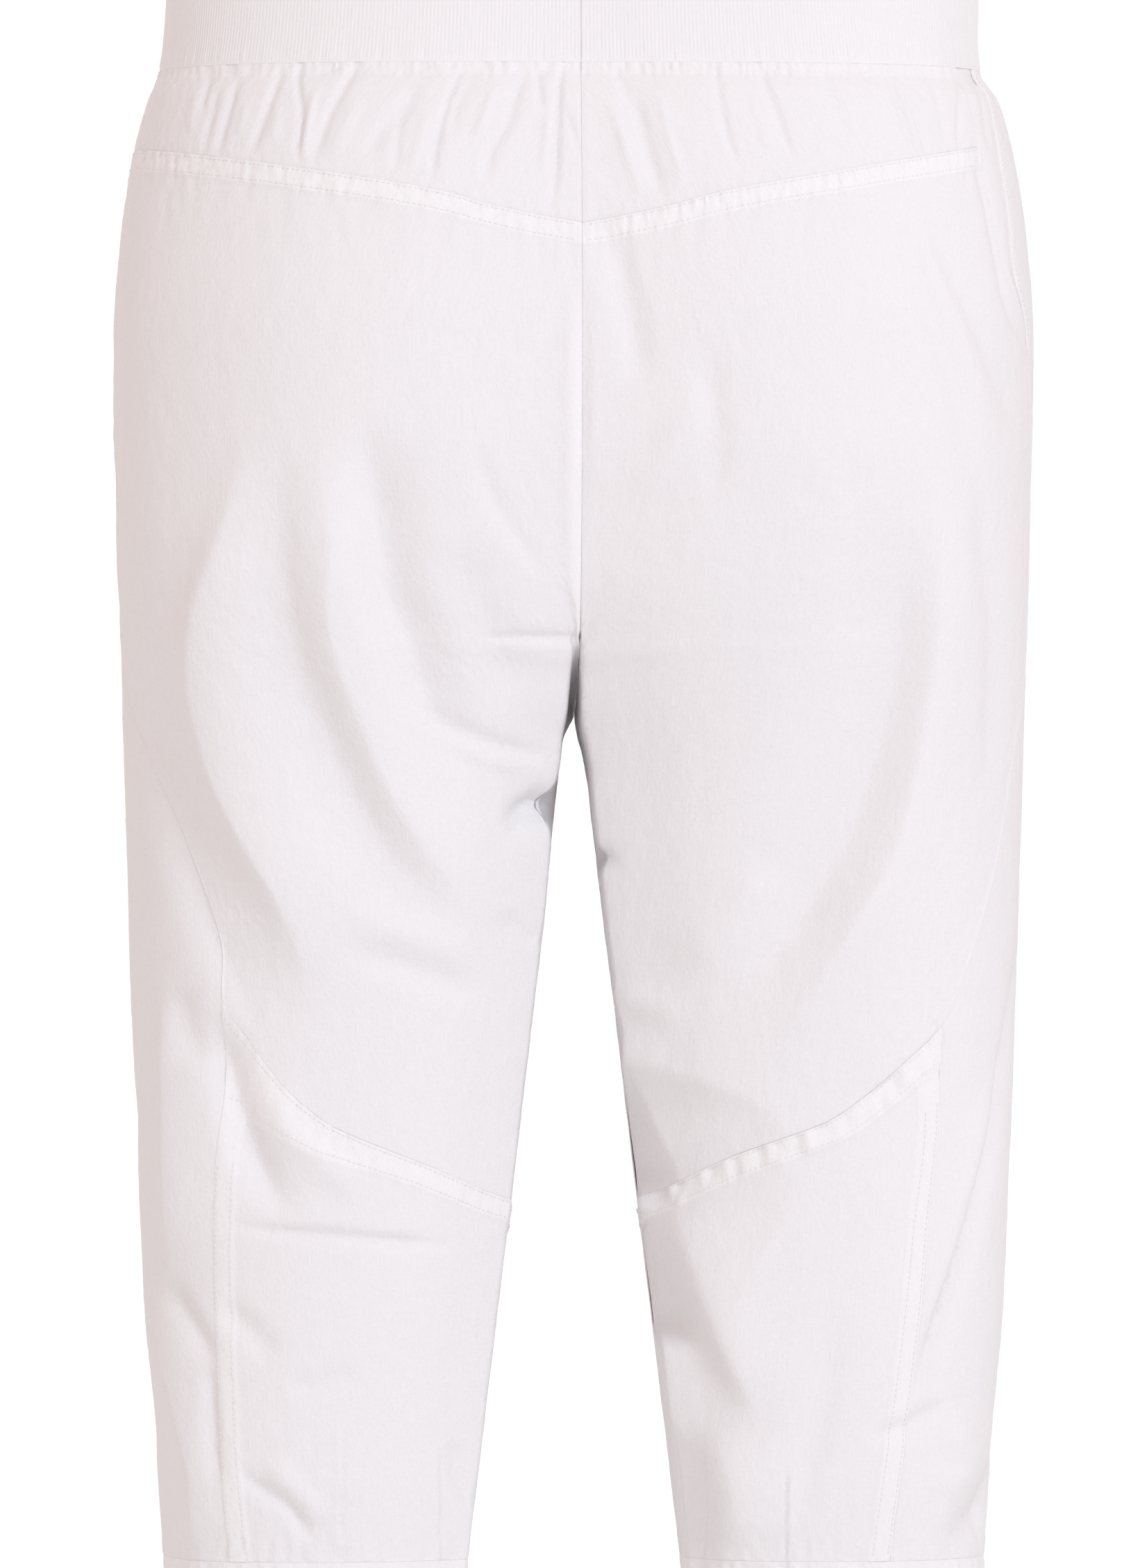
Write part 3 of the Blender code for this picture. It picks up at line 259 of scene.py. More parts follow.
# Folds of each leg's faces: height (negative is a trough), half-width, how round its
# profile is (2 is a soft bell, near 1 a sharp edge), then the route. Of a pair of
# half-widths the second is for the flank nearer the middle of a route that runs down.
# On the back and the front a route's pairs are the distance from the middle and the drop, on
# the side the distance forward of the side line and the drop, on the inner side the
# distance from the inseam and the drop.
FOLDS = {
    ("left", "back"): [
        (12.5, (12, 40), 1.5,
         ((172, 240), (178, 267), (188, 316), (199, 360), (200.5, 386), (197, 412), (190, 437),
          (179, 462), (166, 486), (154, 511), (143, 543), (133, 572))),
        (-5.5, (10, 24), 2,
         ((222, 360), (222, 405), (215, 448), (208, 478), (200, 505), (188, 530), (174, 556),
          (160, 584))),
        (-3.8, (22, 62), 2, ((214, 60), (216, 130), (214, 220), (210, 330))),
        (3.4, (8, 30), 2, ((222, 40), (232, 110), (236, 190), (235, 290), (232, 390))),
        (7.5, (15, 27), 1.35,
         ((136, 250), (135, 292), (132, 316), (133, 341), (131, 365), (123, 390), (113, 415),
          (104, 439), (90, 464), (72, 488), (50, 512), (30, 526))),
        (-6.6, (24, 13), 2,
         ((160, 240), (162, 290), (158, 341), (152, 372), (142, 400), (130, 428), (118, 452),
          (102, 480), (78, 508), (58, 526))),
        (-11.0, (12, 19), 1.8,
         ((116, 240), (110, 280), (106, 316), (102, 341), (91, 363), (83, 390), (67, 416),
          (44, 440))),
        (2.2, 5, 2, ((100, 392), (86, 408), (64, 420), (42, 428), (16, 432))),
        (-3.4, 4.5, 2, ((96, 394), (76, 408), (52, 418), (30, 424), (8, 426))),
        (-1.8, 3, 2, ((58, 366), (24, 364), (-30, 364))),
        (-2.6, 8, 2, ((128, 528), (90, 538), (44, 556))),
        (2.0, 9, 2, ((132, 506), (92, 520), (52, 534))),
        (-4.2, 16, 2, ((70, 306), (52, 356), (34, 408))),
        (-1.2, 5, 2, ((60, 258), (40, 302), (12, 338))),
        (-2.0, 5, 2, ((44, 508), (30, 519), (16, 528))),
        (-8.0, (8, 10), 1.8,
         ((196, 556), (189, 580), (182, 609), (173, 637), (162, 656), (146, 672))),
        (3.0, 9, 2, ((166, 590), (154, 622), (132, 644), (106, 658))),
        (-3.4, 3.6, 1.8, ((192, 674), (164, 677), (128, 680), (84, 684), (60, 686))),
        (-2.8, 7, 2, ((192, 714), (174, 730), (158, 748))),
        (-1.6, 6, 2, ((156, 762), (136, 758), (114, 750))),
        (-3.4, 4, 1.6, ((182, 800), (171, 812), (156, 822), (136, 848))),
        (2.0, 6, 2, ((168, 796), (152, 812), (132, 834))),
        (7.0, (6, 22), 1.4, ((218, 540), (217, 578), (216, 620), (215.5, 670), (214, 716))),
        (5.0, (5, 18), 1.4,
         ((232, 690), (226, 715), (217, 752), (208, 788), (203, 813), (202, 842), (202, 900))),
        (-4.5, (6, 5), 1.8, ((218, 700), (208, 720), (200, 734), (193, 752))),
        (-3.0, 4, 2, ((196, 740), (193, 780), (190, 820))),
        (-3.4, 7, 2, ((214, 546), (198, 594))),
        (-2.4, 5, 2, ((68, 786), (62, 806), (54, 830))),
    ],
    ("left", "inner"): [
        (-11.0, 8.0, 1.6, ((116, 459), (100, 456), (86, 453), (60, 453), (30, 453))),
    ],
    ("right", "back"): [
        (-10.0, (16, 34), 2,
         ((170, 262), (170, 300), (169, 340), (167, 375), (162, 405), (154, 436), (142, 466),
          (126, 494), (108, 520), (88, 546), (66, 572))),
        (9.0, (24, 12), 1.3,
         ((189, 262), (189, 300), (187.5, 330), (186, 349), (184, 375), (180, 405), (175.5, 431),
          (166, 472), (145, 513), (122, 552), (98, 590))),
        (-3.6, 8, 2, ((206, 260), (214, 310), (218, 345), (220, 380), (219, 420), (212, 460))),
        (-2.0, 8, 2, ((61, 200), (68, 235), (70, 262), (68, 300))),
        (-2.4, 8, 2, ((160, 130), (186, 195), (204, 256), (210, 290))),
        (-2.8, 7, 2, ((178, 130), (206, 190), (227, 235), (240, 270))),
        (1.8, 8, 2, ((172, 138), (198, 200), (220, 270))),
        (-3.2, 8, 2, ((6, 132), (18, 166), (26, 200), (32, 240))),
        (1.4, 9, 2, ((60, 226), (48, 262), (22, 296))),
        (3.0, 14, 2, ((104, 480), (84, 512), (50, 540))),
        (2.4, 9, 2, ((18, 548), (60, 566))),
        (4.0, (26, 12), 1.4, ((24, 566), (30, 590), (37, 605), (45, 623), (51, 637), (57, 658))),
        (9.0, (26, 19), 1.4,
         ((46, 640), (56, 664), (62, 684), (68, 704), (75, 724), (83, 746), (92, 768), (99, 792))),
        (-5.5, (9, 16), 2,
         ((34, 660), (40, 680), (49, 704), (59, 726), (69, 746), (80, 768), (88, 784))),
        (6.5, (24, 16), 1.5, ((70, 772), (80, 800), (86, 828), (88, 880))),
        (-5.0, (9, 14), 2, ((50, 776), (62, 806), (66, 836), (68, 880))),
        (-2.2, 10, 2, ((138, 712), (128, 770), (112, 840))),
        (-3.6, 4.5, 1.6, ((152, 788), (176, 780), (196, 767))),
        (-2.4, 2.6, 1.6,
         ((207, 88), (213, 118), (218.5, 144), (223.4, 169), (229, 191), (238, 208), (244, 226))),
        (-7.0, (5, 3.6), 1.6,
         ((240, 500), (235, 560), (229, 590), (221, 630), (211, 668), (198, 706), (188, 734),
          (180, 760), (174, 790))),
        (3.2, 7, 2, ((226, 584), (207, 650), (194, 692), (179, 744))),
        (-8.5, (16, 11), 1.8, ((246, 792), (229, 818), (208, 843), (184, 870))),
        (2.6, 9, 2, ((196, 770), (206, 802), (190, 822))),
    ],
    ("right", "inner"): [
        (-5.0, 5.0, 1.8, ((88, 479), (74, 480), (60, 480), (36, 480))),
    ],
    ("left", "front"): [
        (-8.0, 12, 2, ((22, 338), (66, 376), (126, 412), (196, 438))),
        (-6.5, 11, 2, ((40, 404), (96, 452), (146, 516), (170, 604))),
        (5.2, 13, 2, ((48, 372), (108, 426), (176, 486))),
        (-5.2, 11, 2, ((60, 596), (116, 640), (184, 656))),
        (3.0, 13, 2, ((86, 560), (132, 590), (176, 632))),
        (-2.6, 9, 2, ((92, 700), (136, 716), (180, 704))),
        (-3.0, 11, 2, ((98, 170), (110, 250), (104, 330))),
        (-2.0, 8, 2, ((160, 140), (176, 220), (182, 300))),
        (-2.6, 7, 2, ((182, 770), (160, 806), (128, 842))),
        (-2.2, 8, 2, ((84, 760), (98, 806), (104, 846))),
    ],
    ("right", "front"): [
        (-8.0, 12, 2, ((20, 342), (76, 372), (134, 420), (194, 466))),
        (-6.5, 12, 2, ((52, 418), (92, 474), (132, 528), (148, 614))),
        (5.2, 13, 2, ((60, 384), (118, 438), (170, 508))),
        (-5.2, 11, 2, ((70, 616), (126, 642), (190, 676))),
        (2.8, 12, 2, ((96, 584), (140, 606), (184, 640))),
        (-2.4, 8, 2, ((86, 728), (126, 738), (168, 722))),
        (-2.8, 12, 2, ((86, 180), (102, 255), (92, 326))),
        (-2.0, 8, 2, ((150, 150), (170, 226), (186, 290))),
        (-2.8, 7, 2, ((190, 782), (164, 812), (140, 848))),
        (-2.0, 8, 2, ((92, 772), (104, 812), (96, 850))),
    ],
    ("left", "side"): [
        (-6.5, 12, 2, ((-30, 250), (6, 330), (22, 420), (10, 520))),
        (3.5, 14, 2, ((4, 262), (38, 350), (52, 440), (44, 520))),
        (-3.5, 11, 2, ((30, 560), (4, 610), (-18, 660))),
        (-3.0, 10, 2, ((40, 690), (14, 740), (-6, 806))),
    ],
    ("right", "side"): [
        (-6.0, 12, 2, ((-26, 262), (4, 340), (16, 430), (2, 530))),
        (3.2, 14, 2, ((10, 270), (36, 352), (46, 440), (34, 522))),
        (-3.5, 11, 2, ((44, 570), (16, 622), (-8, 672))),
        (-3.0, 10, 2, ((34, 700), (8, 752), (-10, 812))),
    ],
}
FOLD_TAPER = 0.3          # share of a fold's length over which each end fades out
ROUTE_POINTS = 25         # points of the smooth curve along a fold's route

# Gathers of each half of the back yoke: height, half-width, how much wider the flank nearer
# the middle is, and the route.
GATHERS = {
    "left": [
        (-1.3, 2.0, 0.0, ((193, 60), (195, 66), (199, 80), (200, 90))),
        (-1.5, 2.2, 0.0, ((190, 70), (193, 80), (198, 99), (201, 108))),
        (0.9, 2.4, 0.0, ((201, 72), (205, 86), (206, 100))),
        (-1.9, 2.2, 0.0, ((179, 64), (183, 76), (191, 102), (194, 112))),
        (0.9, 2.2, 0.0, ((176, 80), (181, 100))),
        (-2.0, 2.2, 0.2, ((155, 58), (159, 67), (164, 80), (173, 103), (177, 114))),
        (1.0, 2.8, 0.0, ((158, 82), (164, 104))),
        (-1.9, 1.8, 0.0, ((145, 52), (149, 70), (147.5, 88), (149.5, 108), (150, 120))),
        (1.7, 2.0, 0.0, ((139, 70), (142, 84), (146, 104), (148, 114))),
        (-2.0, 2.4, 0.2, ((114, 54), (123, 70), (132, 86), (140, 108), (143, 120))),
        (1.2, 4.0, 0.0, ((117, 76), (125, 96), (134, 112))),
        (-1.7, 4.6, 0.0, ((84, 66), (94, 86), (107, 99), (114, 118))),
        (-1.0, 2.2, 0.0, ((94, 84), (97, 104), (99, 124))),
        (1.0, 3.2, 0.0, ((80, 84), (86, 104), (92, 122))),
        (-2.2, 1.9, 0.2, ((60, 58), (71, 82), (77, 106), (80, 126), (81, 132))),
        (-1.1, 3.4, 0.0, ((52, 64), (64, 80), (70, 104))),
        (1.3, 2.6, 0.0, ((44, 72), (51, 88), (56, 104))),
        (-2.4, 2.8, 0.2, ((28, 62), (34, 76), (39, 92), (48, 108), (53, 128))),
        (-1.6, 1.8, 0.0, ((23, 62), (22, 74), (21, 88))),
        (1.2, 2.2, 0.0, ((17, 84), (19, 104), (22, 122))),
        (-2.4, 1.9, 0.0, ((6, 52), (12, 76), (12.5, 96), (14, 122), (19, 146))),
        (-1.0, 1.6, 0.0, ((10, 82), (5, 96), (1, 110))),
    ],
    "right": [
        (0.8, 3.0, 0.0, ((14, 76), (20, 98), (26, 124))),
        (-1.0, 3.0, 0.0, ((18, 60), (22, 74), (25, 88))),
        (0.9, 3.0, 0.0, ((18, 86), (24, 106), (31, 136))),
        (-2.1, 4.4, 0.0, ((24, 66), (30, 88), (36, 112), (45, 140))),
        (0.9, 2.6, 0.0, ((40, 72), (45, 96), (55, 134))),
        (-1.3, 2.4, 0.0, ((69, 58), (72, 74), (75, 94), (85, 122))),
        (-1.7, 2.4, 0.2, ((91, 54), (97, 72), (103, 88), (112, 116))),
        (0.7, 3.0, 0.0, ((88, 74), (94, 92), (100, 112))),
        (-0.8, 3.2, 0.0, ((126, 62), (133, 80), (144, 106))),
        (-1.2, 1.8, 0.0, ((160, 58), (166, 76), (172, 94), (180, 120))),
        (1.0, 1.8, 0.0, ((165, 62), (170, 78), (176, 96), (183, 118))),
        (-0.9, 2.4, 0.0, ((186, 60), (191, 84), (194, 108))),
        (-1.3, 2.2, 0.0, ((205, 56), (203, 76), (200, 110))),
        (-1.4, 2.0, 0.0, ((213, 58), (216, 78), (219, 108))),
        (-1.2, 2.0, 0.0, ((222, 64), (225, 80), (228, 98))),
    ],
}
FRONT_GATHERS = 14        # gathers on each half of the hidden front
GATHER_SPAN = 70 * MM     # drop over which each of them moves from its top to its foot

# Narrow sewn tucks above the hem seam: distance from the middle, and the drop they start at.
TUCKS = {"left": ((126.5, 774), (73.5, 790)), "right": ((111.0, 798), (68.0, 792))}

# Rows and columns of a panel's grid lie closer together beside a seam.
PLAIN_EDGE = np.array([0, 0.6, 1.3, 2.2, 3.4]) * MM
STRIP_EDGE = np.array([0, 0.5, 1.1, 1.9, 2.9, 4.1, 5.5, 6.9, 7.9, 8.7, 9.6]) * MM
MOUTH_EDGE = np.array([0, 0.6, 1.3, 2.2, 3.4, 4.8, 6.0, 6.8, 7.6, 8.8]) * MM
BAND_EDGE = np.array([
    0, 0.5, 1.0, 1.6, 2.3, 3.2, 4.2, 5.3, 6.4, 7.5, 8.5, 9.3, 9.9, 10.5, 11.1, 11.8, 12.8, 14.0]) * MM
LINE_STEPS = 320          # steps of the fine lines that a panel is spanned between
STITCH_LIFT = 0.1 * MM    # how far a thread's middle lies above the cloth
LEVEL_GAP = 0.03 * MM     # from a level seam to the edge of the piece beside it
WAIST_NIP = 3.8 * MM      # how far the waist seam draws the cloth in at the right hip
MIRROR = {"left": np.array([1.0, 1.0, 1.0]), "right": np.array([-1.0, 1.0, 1.0])}


def smooth_step(value):
    """0 below 0, 1 above 1, with level ends between."""
    value = np.clip(value, 0.0, 1.0)
    return value * value * (3.0 - 2.0 * value)


def rise(distance, start, reach):
    """0 up to a start, then smoothly to 1 over a reach, both in millimetres."""
    return smooth_step((distance - start * MM) / (reach * MM))


def bell(distance, width):
    """1 at a distance of 0, falling to nothing beyond two widths."""
    return np.exp(-(distance / width) ** 2)


def smooth_between(at, knots, values):
    """Cubic curve through a table's rows that never overshoots them.

    The slope at a row is the weighted harmonic mean of its two neighbours' slopes, or
    level where they turn.
    """
    step = np.diff(knots)
    slope = np.diff(values) / step
    tangent = np.zeros(len(knots))
    tangent[0] = slope[0]
    tangent[-1] = slope[-1]
    same_way = slope[:-1] * slope[1:] > 0
    before = slope[:-1][same_way]
    after = slope[1:][same_way]
    weight_before = (2 * step[1:] + step[:-1])[same_way]
    weight_after = (step[1:] + 2 * step[:-1])[same_way]
    inner = np.zeros(len(knots) - 2)
    inner[same_way] = (weight_before + weight_after) / (weight_before / before + weight_after / after)
    tangent[1:-1] = inner

    at = np.clip(at, knots[0], knots[-1])
    index = np.clip(np.searchsorted(knots, at, side="right") - 1, 0, len(knots) - 2)
    width = step[index]
    share = (at - knots[index]) / width
    climb = values[index + 1] - values[index]
    blend = share * share * (3 - 2 * share)
    start = share * (1 - share) ** 2 * width * tangent[index]
    end = -share * share * (1 - share) * width * tangent[index + 1]
    return values[index] + climb * blend + start + end


def half_form(around, below):
    """Points of the left half's plain form.

    Each half of a level, back or front, has an outer quarter, a bulged quarter of an
    ellipse from the crest to the side line, and an inner quarter from the edge to the
    crest, which turns from a level run in the torso to a quarter ellipse at the front of
    the leg and to the hung form of INNER_BACK at its back.
    """
    around, below = np.broadcast_arrays(np.asarray(around, float), np.asarray(below, float))
    level = {name: smooth_between(below, LEVELS["below"], LEVELS[name]) for name in LEVELS}
    is_back = around < 0.5
    from_edge = np.where(is_back, around, 1.0 - around) * 4.0
    crest_x = np.where(is_back, level["back_x"], level["front_x"])
    crest_y = np.where(is_back, level["back_y"], level["front_y"])
    edge_y = np.where(is_back, level["back_edge_y"], level["front_edge_y"])
    edge_drop = np.where(is_back, level["back_edge_drop"], level["front_edge_drop"])

    turn = np.clip(from_edge - 1.0, 0.0, 1.0) * np.pi / 2
    bulge = 1.0 + FULLNESS * np.sin(2 * turn) ** 2
    outer_x = crest_x + (level["outer_x"] - crest_x) * np.sin(turn) * bulge
    outer_y = level["middle_y"] + (crest_y - level["middle_y"]) * np.cos(turn) * bulge

    run = np.clip(from_edge, 0.0, 1.0)
    turn = run * np.pi / 2
    bulge = 1.0 + INNER_FULLNESS * np.sin(2 * turn) ** 2
    hung = {name: smooth_between(run, INNER_BACK["run"], INNER_BACK[name]) for name in INNER_BACK}
    hung_y = edge_y + (level["corner_y"] - edge_y) * hung["wall"]
    hung_y = hung_y + (crest_y - level["corner_y"]) * hung["slant"]
    inwards = np.where(is_back, hung["inwards"], np.cos(turn) * bulge)
    round_x = crest_x - (crest_x - level["inner_x"]) * inwards
    round_y = np.where(is_back, hung_y, edge_y + (crest_y - edge_y) * np.sin(turn) * bulge)
    flat_x = level["inner_x"] + (crest_x - level["inner_x"]) * run
    flat_y = edge_y + (crest_y - edge_y) * smooth_step(run)
    cleft = np.where(is_back, level["back_cleft"], level["cleft"])
    inner_x = flat_x + (round_x - flat_x) * cleft
    inner_y = flat_y + (round_y - flat_y) * cleft

    is_outer = from_edge > 1.0
    x = np.where(is_outer, outer_x, inner_x)
    y = np.where(is_outer, outer_y, inner_y)
    drop = below + (edge_drop - below) * (1.0 - smooth_step(run))
    return np.stack([x, y, -drop], axis=-1)


def hang(side, around, below):
    """How far one leg's cloth hangs off the plain form, across and in depth.

    Beside the other leg it sways by SWAY, beyond each line of TURNS it lies deeper, and its
    back turns in towards the hem.
    """
    base = half_form(around, below)
    offset = np.zeros_like(base)
    run = np.minimum(around, 1 - around) * 4.0
    is_back = around < 0.5
    corner = smooth_between(below, SWAY["below"], SWAY[side + "_corner"])
    wall = smooth_between(below, SWAY["below"], SWAY[side + "_wall"])
    sway = wall + (corner - wall) * smooth_step(run / 0.3) * is_back
    offset[..., 0] = sway * (1 - smooth_step((run - 0.5) / 0.25))
    turned_in = rise(below, 806, 52) * is_back
    offset[..., 1] = -5.0 * MM * turned_in * np.sin(2 * np.pi * around)
    for leg, way, steepness, knee, fades, line in TURNS:
        if leg == side:
            line_drops = np.array([place[1] for place in line]) * MM
            line_across = np.array([place[0] for place in line]) * MM
            beyond = way * (base[..., 0] - smooth_between(below, line_drops, line_across))
            beyond = np.maximum(beyond, 0)
            window = rise(below - line_drops[0], 0, fades[0])
            window = window * rise(line_drops[-1] - below, 0, fades[1])
            if way < 0:
                window = window * smooth_step(run / 0.35) * is_back
            else:
                window = window * (1 - smooth_step((around - 0.5) / 0.14))
            offset[..., 1] -= steepness * beyond ** 2 / (beyond + knee * MM) * window
    return offset


def unit(vectors):
    """Vectors scaled to a length of 1."""
    return vectors / np.maximum(np.linalg.norm(vectors, axis=-1, keepdims=True), 1e-12)


def half_normal(around, below):
    """Outward unit normals of the form, from small steps along both directions."""
    step_around = 0.004
    step_below = 1.0 * MM
    along = half_form(np.minimum(around + step_around, 1.0), below)
    along = along - half_form(np.maximum(around - step_around, 0.0), below)
    down = half_form(around, np.minimum(below + step_below, HEM_EDGE))
    down = down - half_form(around, np.maximum(below - step_below, 0.0))
    return unit(np.cross(along, down))


# Lengths along the level lines, worked out once on a lattice of places.
LATTICE_AROUND = np.linspace(0.0, 1.0, 401)
LATTICE_BELOW = np.linspace(0.0, HEM_EDGE, 176)


def from_lattice(values, column, row):
    """Values between the points of a lattice: the blend of the four nearest ones."""
    column = np.clip(column * (values.shape[1] - 1), 0, values.shape[1] - 1.000001)
    row = np.clip(row * (values.shape[0] - 1), 0, values.shape[0] - 1.000001)
    i = column.astype(int)
    j = row.astype(int)
    u = column - i
    v = row - j
    upper = values[j, i] * (1 - u) + values[j, i + 1] * u
    lower = values[j + 1, i] * (1 - u) + values[j + 1, i + 1] * u
    return upper * (1 - v) + lower * v


@functools.cache
def lattices():
    """Length from the back edge at each lattice place, and the place at each share of it."""
    points = half_form(LATTICE_AROUND[None, :], LATTICE_BELOW[:, None])
    steps = np.linalg.norm(np.diff(points, axis=1), axis=2)
    length = np.concatenate([np.zeros((len(points), 1)), np.cumsum(steps, axis=1)], axis=1)
    shares = np.linspace(0.0, 1.0, 401)
    places = np.stack([np.interp(shares * row[-1], row, LATTICE_AROUND) for row in length])
    return length, places


def cloth_length(around, below):
    """Length along the level line from the back edge to a place."""
    return from_lattice(lattices()[0], around, below / HEM_EDGE)


def from_side_line(around, below):
    """Length along the level line from the side line, for patterns and noise."""
    return cloth_length(around, below) - cloth_length(np.full_like(below, 0.5), below)


def half_girth(below):
    """Length of a whole level line, from the back edge to the front edge."""
    return from_lattice(lattices()[0], np.ones_like(below), below / HEM_EDGE)


def place_at(length, below):
    """The place at a length along the level line from the back edge."""
    return from_lattice(lattices()[1], length / half_girth(below), below / HEM_EDGE)


def lattice_noise(x, y, seed, size):
    """Random numbers on a square lattice of unit steps, blended by smooth steps."""
    numbers = np.random.default_rng(seed).uniform(-1, 1, (size, size))
    i = np.floor(x).astype(int)
    j = np.floor(y).astype(int)
    u = smooth_step(x - i)
    v = smooth_step(y - j)
    upper = numbers[j % size, i % size] * (1 - u) + numbers[j % size, (i + 1) % size] * u
    j = j + 1
    lower = numbers[j % size, i % size] * (1 - u) + numbers[j % size, (i + 1) % size] * u
    return upper * (1 - v) + lower * v


def noise(x, y, seed):
    """Smooth noise from -1 to 1 that changes over one unit of x and y.

    Two lattices turned against each other are averaged, so that the lattice's own
    directions don't show.
    """
    total = 0.0
    for layer, turn in enumerate((0.35, 1.1)):
        across = x * math.cos(turn) - y * math.sin(turn)
        down = x * math.sin(turn) + y * math.cos(turn)
        total = total + lattice_noise(across, down, seed * 10 + layer, 256)
    return total / 2


def streaks(x, y, seed):
    """Noise of one lattice that isn't turned, for marks that run straight along y."""
    return lattice_noise(x, y, seed, 1024)


def run_length(points):
    """Length along a line of points, from 0 at the first one."""
    return np.concatenate([[0], np.cumsum(np.linalg.norm(np.diff(points, axis=0), axis=1))])


def taken_at(at, length, values):
    """Rows of values read at lengths along their line."""
    return np.stack([np.interp(at, length, column) for column in values.T], axis=-1)


def curve_through(points, count):
    """Points at equal spacing on a smooth curve through a few given ones."""
    length = run_length(points)
    at = np.linspace(0, length[-1], count)
    return np.stack([smooth_between(at, length, points[:, i]) for i in range(2)], axis=-1)


def fold_height(across, drop, route, half_widths, roundness):
    """Height of a fold from 0 to 1: exp(-|s|^roundness) across its route, faded at both ends.

    s is the distance from the route over the half-width of the flank it lies on.
    """
    path = curve_through(route, ROUTE_POINTS)
    reach = 3 * max(half_widths)
    near = (across > path[:, 0].min() - reach) & (across < path[:, 0].max() + reach)
    near &= (drop > path[:, 1].min() - reach) & (drop < path[:, 1].max() + reach)
    height = np.zeros_like(across)
    if not near.any():
        return height
    start = path[:-1]
    run = path[1:] - start
    place = np.stack([across[near], drop[near]], axis=-1)[:, None, :]
    share = np.sum((place - start) * run, axis=-1) / np.sum(run * run, axis=-1)
    share = np.clip(share, 0.0, 1.0)
    off = place - (start + share[..., None] * run)
    away = np.linalg.norm(off, axis=-1)
    nearest = np.argmin(away, axis=-1)
    pick = np.arange(len(nearest))
    distance = away[pick, nearest]
    hand = run[nearest, 0] * off[pick, nearest, 1] - run[nearest, 1] * off[pick, nearest, 0]
    flank = np.where(hand > 0, half_widths[1], half_widths[0])
    along = (nearest + share[pick, nearest]) / len(start)
    ends = smooth_step(along / FOLD_TAPER) * smooth_step((1 - along) / FOLD_TAPER)
    height[near] = np.exp(-(distance / flank) ** roundness) * ends
    return height


def gather_height(across, drop, gathers):
    """Depth of the gathers: narrow troughs, each with a soft ridge beside it."""
    total = np.zeros_like(across)
    for top, foot, start, end, depth, width in zip(*gathers.values()):
        share = (drop - WAIST_SEAM) / GATHER_SPAN
        middle = top + (foot - top) * share
        window = rise(drop - start, 0, 6)
        window = window * smooth_step((end - drop) / (0.45 * (end - start)))
        off = across - middle
        trough = bell(off, width) - 0.55 * bell(off - 2.1 * width, 1.5 * width)
        total -= depth * trough * window
    return total


@functools.cache
def front_gathers():
    """Gathers of the hidden front: evenly spaced with a little unevenness."""
    rows = []
    for i in range(FRONT_GATHERS):
        top = 8 + 15.0 * i + 3.0 * math.sin(2.1 * i)
        lean = 5.0 + 4.0 * math.sin(1.3 * i)
        end = 112 + 16 * math.sin(1.9 * i)
        depth = 1.6 + 0.6 * math.sin(2.7 * i)
        width = 2.7 + 0.4 * math.sin(0.9 * i)
        rows.append((top, top + lean, 61 + i % 3, end, depth, width))
    return table("top foot start end depth width", rows)


def tuck_height(across, drop, tucks):
    """Sewn tucks: a small step up across each line that dies away on one side."""
    total = np.zeros_like(across)
    for middle, start in tucks:
        off = across - middle * MM
        step = smooth_step(off / (0.9 * MM) + 0.5) * np.exp(-np.maximum(off, 0) / (5 * MM))
        step = 0.9 * MM * step - 0.5 * MM * bell(off + 0.8 * MM, 1.2 * MM)
        total += step * rise(drop, start, 14)
    return total


def crinkle(length, below, depth):
    """The crinkled cotton's own relief: soft blisters drawn out down the cloth."""
    wide = noise(length / (7.5 * MM), below / (12 * MM), 3)
    fine = noise(length / (3.6 * MM), below / (5.2 * MM), 4)
    crisp = np.maximum(0.22 - np.abs(noise(length / (5 * MM), below / (8 * MM), 5)), 0) / 0.22
    patch = smooth_step(noise(length / (48 * MM), below / (60 * MM), 6) / 0.5 + 0.4)
    return depth * (0.55 * wide + 0.35 * fine + 0.55 * crisp * patch)


def drape(side, around, below, base, normal):
    """How far the hanging cloth stands off the plain form, in or out."""
    finish = bpy.context.scene.capri_finish
    across = base[..., 0]
    drop = -base[..., 2]
    length = cloth_length(around, below)
    from_side = from_side_line(around, below)
    weight = {
        "back": smooth_step(normal[..., 1] / 0.2),
        "front": smooth_step(-normal[..., 1] / 0.35),
        "side": smooth_step((normal[..., 0] - 0.35) / 0.4),
        "inner": smooth_step((0.3 - around) / 0.1),
    }
    place = {
        "back": across,
        "front": across,
        "side": from_side,
        "inner": length,
    }
    total = np.zeros_like(across)
    for face in place:
        for height, half_width, roundness, route in FOLDS[side, face]:
            flanks = np.broadcast_to(half_width, 2) * MM
            fold = fold_height(place[face], drop, np.array(route) * MM, flanks, roundness)
            total += height * MM * fold * weight[face]
    for depth, half_width, lean, route in GATHERS[side]:
        flanks = np.array([half_width, half_width * (1 + lean)]) * MM
        fold = fold_height(across, drop, np.array(route) * MM, flanks, 2)
        total += depth * MM * fold * weight["back"]
    total *= 1 - 0.6 * rise(drop - HEM_SEAM, -24, 22)
    total += gather_height(across, drop, front_gathers()) * weight["front"]
    total += tuck_height(across, drop, TUCKS[side]) * weight["back"]
    if side == "right":
        total -= WAIST_NIP * bell(drop - WAIST_SEAM, 9 * MM) * rise(across, 190, 25)
    # Each leg has its own stretch of the crinkle.
    start = 1.0 if side == "left" else 3.7
    return total + crinkle(from_side + start, below, finish.crinkle_depth)


def seam_groove(distance, depth):
    """The dip beside a seam, where the two pieces turn in."""
    return -0.6 * depth * bell(distance, 1.3 * MM)


